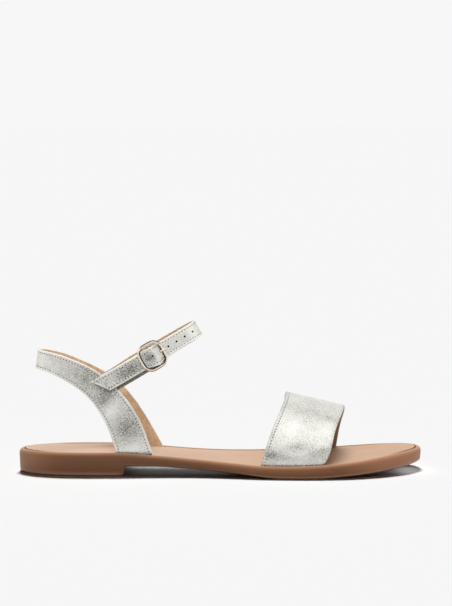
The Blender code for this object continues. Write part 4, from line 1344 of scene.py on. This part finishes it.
def build_ankle():
    rows = (ANKLE_STITCH_IN, ANKLE_STITCH_IN)
    strap = Strap(ankle_place, 0.0, 5.0, ANKLE_STEP, 1, rows, TIP_STATIONS)
    half = ANKLE_THICKNESS / 2
    layers = add_layers("ankle_strap", strap, "heel_and_ankle_straps", ANKLE_THICKNESS, -half, ANKLE_COLUMNS,
                        ANKLE_STITCH_IN, ANKLE_LINING, patches=ANKLE_PATCHES, tip=from_tip)
    for layer in layers:
        cut_with(layer, hole_cutters(), "punched_holes")
        slot = slot_cutter(PRONG_SLOT_T, PRONG_SLOT_LENGTH, PRONG_SLOT_WIDTH, STRAP_N, 2 * CUT_REACH)
        cut_with(layer, slot, "prong_slot")
    lines = [tip_line(half)]
    for points, normals in strap.stitch_lines():
        lines.append((points + normals * half, normals, TIP_STITCHES))
    add_threads("ankle_strap_threads", lines)


def build_tab():
    strap = Strap(tab_place, 0.0, 5.0, TAB_STEP, 1, (None, None))
    half = TAB_THICKNESS / 2
    points, rows, tones = layer_points(strap, -half, half, TAB_COLUMNS, patches=TAB_PATCHES)
    mesh = rolled_grid(points, "buckle_tab", rows, tones)
    tab = add_piece(mesh, SILVER, "heel_and_ankle_straps")
    cut_with(tab, slot_cutter(0.0, TAB_SLOT_LENGTH, TAB_SLOT_WIDTH, 0.0, TAB_SLOT_DEPTH), "tab_slot")


# Buckle


def buckle_axis(t, n, w):
    """A direction in the buckle's axes as a direction of the shoe."""
    return np.subtract(to_buckle(t, n, w), to_buckle(0, 0, 0))


def build_buckle():
    gold = make_finish("pale_gold", pale_gold, 0.5, True)
    angles = np.linspace(0, 2 * math.pi, FRAME_CORNERS, endpoint=False)
    t = squared_off(np.cos(angles), BUCKLE_ROUNDNESS) * BUCKLE_HALF_LENGTH
    w = squared_off(np.sin(angles), BUCKLE_ROUNDNESS) * BUCKLE_HALF_WIDTH
    ring = to_buckle(t, RAIL_N, w)
    ring = np.vstack([ring, ring[:1]])
    length = lengths_along(ring)
    ring = points_at(np.linspace(0, length[-1], RAIL_STEPS, endpoint=False), length, ring)
    flat = RAIL_RADIUS / RAIL_HALF_WIDTH
    rails = tube(ring, RAIL_HALF_WIDTH, buckle_axis(0, 1, 0), closed=True, flat=flat)
    add_piece(mesh_from(rails, "buckle_rails"), gold, "buckle_frame")

    leg = [(BUCKLE_HALF_WIDTH, RAIL_N - BAR_SINK), (BUCKLE_HALF_WIDTH, RAIL_N / 2), (BAR_HALF_WIDTH, 0.0)]
    line = leg + [(-across, n) for across, n in reversed(leg)]
    path = [to_buckle(0, n, across) for across, n in line]
    bar = tube(path, BAR_RADIUS, buckle_axis(1, 0, 0))
    add_piece(mesh_from(bar, "buckle_bar"), gold, "buckle_frame")

    turns = np.radians(np.linspace(PRONG_HOOK_FROM, PRONG_HOOK_TO, HOOK_STEPS))
    hook = [(PRONG_HOOK_RADIUS * math.cos(q), PRONG_HOOK_RADIUS * math.sin(q)) for q in turns]
    path = np.array([to_buckle(t, n, 0) for t, n in hook + PRONG_RUN])
    length = lengths_along(path)
    even = np.linspace(0, length[-1], PRONG_STEPS)
    thick = eased(length[-1] - even, 0.0, PRONG_TIP_LENGTH)
    radii = PRONG_RADIUS * (PRONG_TIP_SHARE + (1 - PRONG_TIP_SHARE) * thick)
    wire = tube(points_at(even, length, path), radii, buckle_axis(0, 0, 1))
    worn = make_finish("pale_gold_worn", pale_gold, 0.4, False)
    add_piece(mesh_from(wire, "buckle_prong_wire"), worn, "buckle_prong")


# Studio


def plain_paper(_place):
    return dict(base_color=(PAPER, PAPER, PAPER, 1.0), roughness=1.0, specular_ior_level=0.0)


def add_floor():
    bm = bmesh.new()
    bmesh.ops.create_grid(bm, x_segments=1, y_segments=1, size=FLOOR_SIZE)
    floor = bpy.data.objects.new("studio_floor", mesh_from(bm, "studio_floor"))
    bpy.context.scene.collection.objects.link(floor)
    floor.data.materials.append(make_finish("floor_paper", plain_paper))
    return floor


def add_backdrop():
    """A plain pale backdrop; shiny surfaces mirror a softbox above and a dark room low in front instead."""
    world = bpy.data.worlds.new("studio")
    bpy.context.scene.world = world
    world.use_nodes = True
    start = Socket(world.node_tree)
    way = start.node("ShaderNodeTexCoord", output=0)
    front = way.part(1) * -1.0
    up = way.part(2)
    softbox = (0.82 * up + 0.57 * front).eased(0.55, 0.97)
    low_front = front.eased(0.2, 0.9) * up.eased(0.0, 0.6, 1.0, 0.0)
    mirrored = 1.05 + 0.30 * softbox - 0.80 * low_front
    seen = start.node("ShaderNodeLightPath", output=0)
    glossy = start.node("ShaderNodeLightPath", output=3)
    strength = seen * BACKDROP + (1 - seen) * (glossy * mirrored + (1 - glossy) * FILL)
    feed(world.node_tree.nodes["Background"], strength=strength, color=(1.0, 1.0, 1.0, 1.0))
    world.cycles.sampling_method = "NONE"


def add_lamp(name, kind, strength, tilt, lit, shading=None):
    """A lamp that lights one group of objects, shaded by all objects or by one group."""
    light = bpy.data.lights.new(name, kind)
    light.energy = strength
    stand = bpy.data.objects.new(name, light)
    stand.rotation_euler = (math.radians(tilt), 0, 0)
    stand.visible_glossy = stand.visible_camera = False
    stand.light_linking.receiver_collection = lit
    stand.light_linking.blocker_collection = shading
    bpy.context.scene.collection.objects.link(stand)
    return stand


def add_sun(lamp, lit, shading=None):
    stand = add_lamp(lamp.name, "SUN", lamp.strength, lamp.tilt, lit, shading)
    stand.data.angle = math.radians(lamp.spread)


def add_camera():
    lens = bpy.data.cameras.new("camera")
    lens.lens = CAMERA_LENS
    lens.clip_end = CAMERA_FAR
    camera = bpy.data.objects.new("camera", lens)
    camera.location = CAMERA_PLACE
    camera.rotation_euler = (math.radians(90 - CAMERA_DIP), 0, 0)
    bpy.context.scene.collection.objects.link(camera)
    bpy.context.scene.camera = camera
    bpy.context.scene.view_settings.view_transform = "Standard"


def build_studio():
    """Floor, lamps and camera: some lamps light the shoe, others the floor, where the sole shades it."""
    floor_group = bpy.data.collections.new("floor_group")
    floor_group.objects.link(add_floor())
    add_backdrop()
    for lamp in LAMPS:
        add_sun(lamp, SHOE_GROUP)
    add_sun(FLOOR_LAMP, floor_group, SOLE_GROUP)
    for glow in GLOWS:
        stand = add_lamp(glow.name, "AREA", glow.power, 0.0, floor_group, floor_group)
        stand.location = (glow.x * MM, glow.y * MM, glow.z * MM)
        stand.data.shape = "RECTANGLE"
        stand.data.size, stand.data.size_y = glow.length * MM, glow.width * MM
    add_camera()


SHOE_GROUP = bpy.data.collections.new("shoe_group")
SOLE_GROUP = bpy.data.collections.new("sole_group")
SILVER = make_finish("silver_leather", silver_leather)
LINING = make_finish("tan_lining", lining_leather, colour(244, 210, 172))
# Painted shade: the ankle strap's lining is darker than the heel strap's, as shade from the buckle over it
ANKLE_LINING = make_finish("ankle_lining_painted_shade", lining_leather, colour(224, 190, 154))
VAMP_LINING = make_finish("shaded_lining", lining_leather, colour(172, 140, 118))
THREAD = make_finish("silver_thread", sewing_thread)
# Painted shade: the walls of the punched holes and slots are dark, as the shade inside them
CUT_EDGE = make_finish("cut_edge", lining_leather, colour(70, 58, 48))
build_outsole()
build_insole()
build_vamp()
build_heel()
build_ankle()
build_tab()
build_buckle()
build_studio()
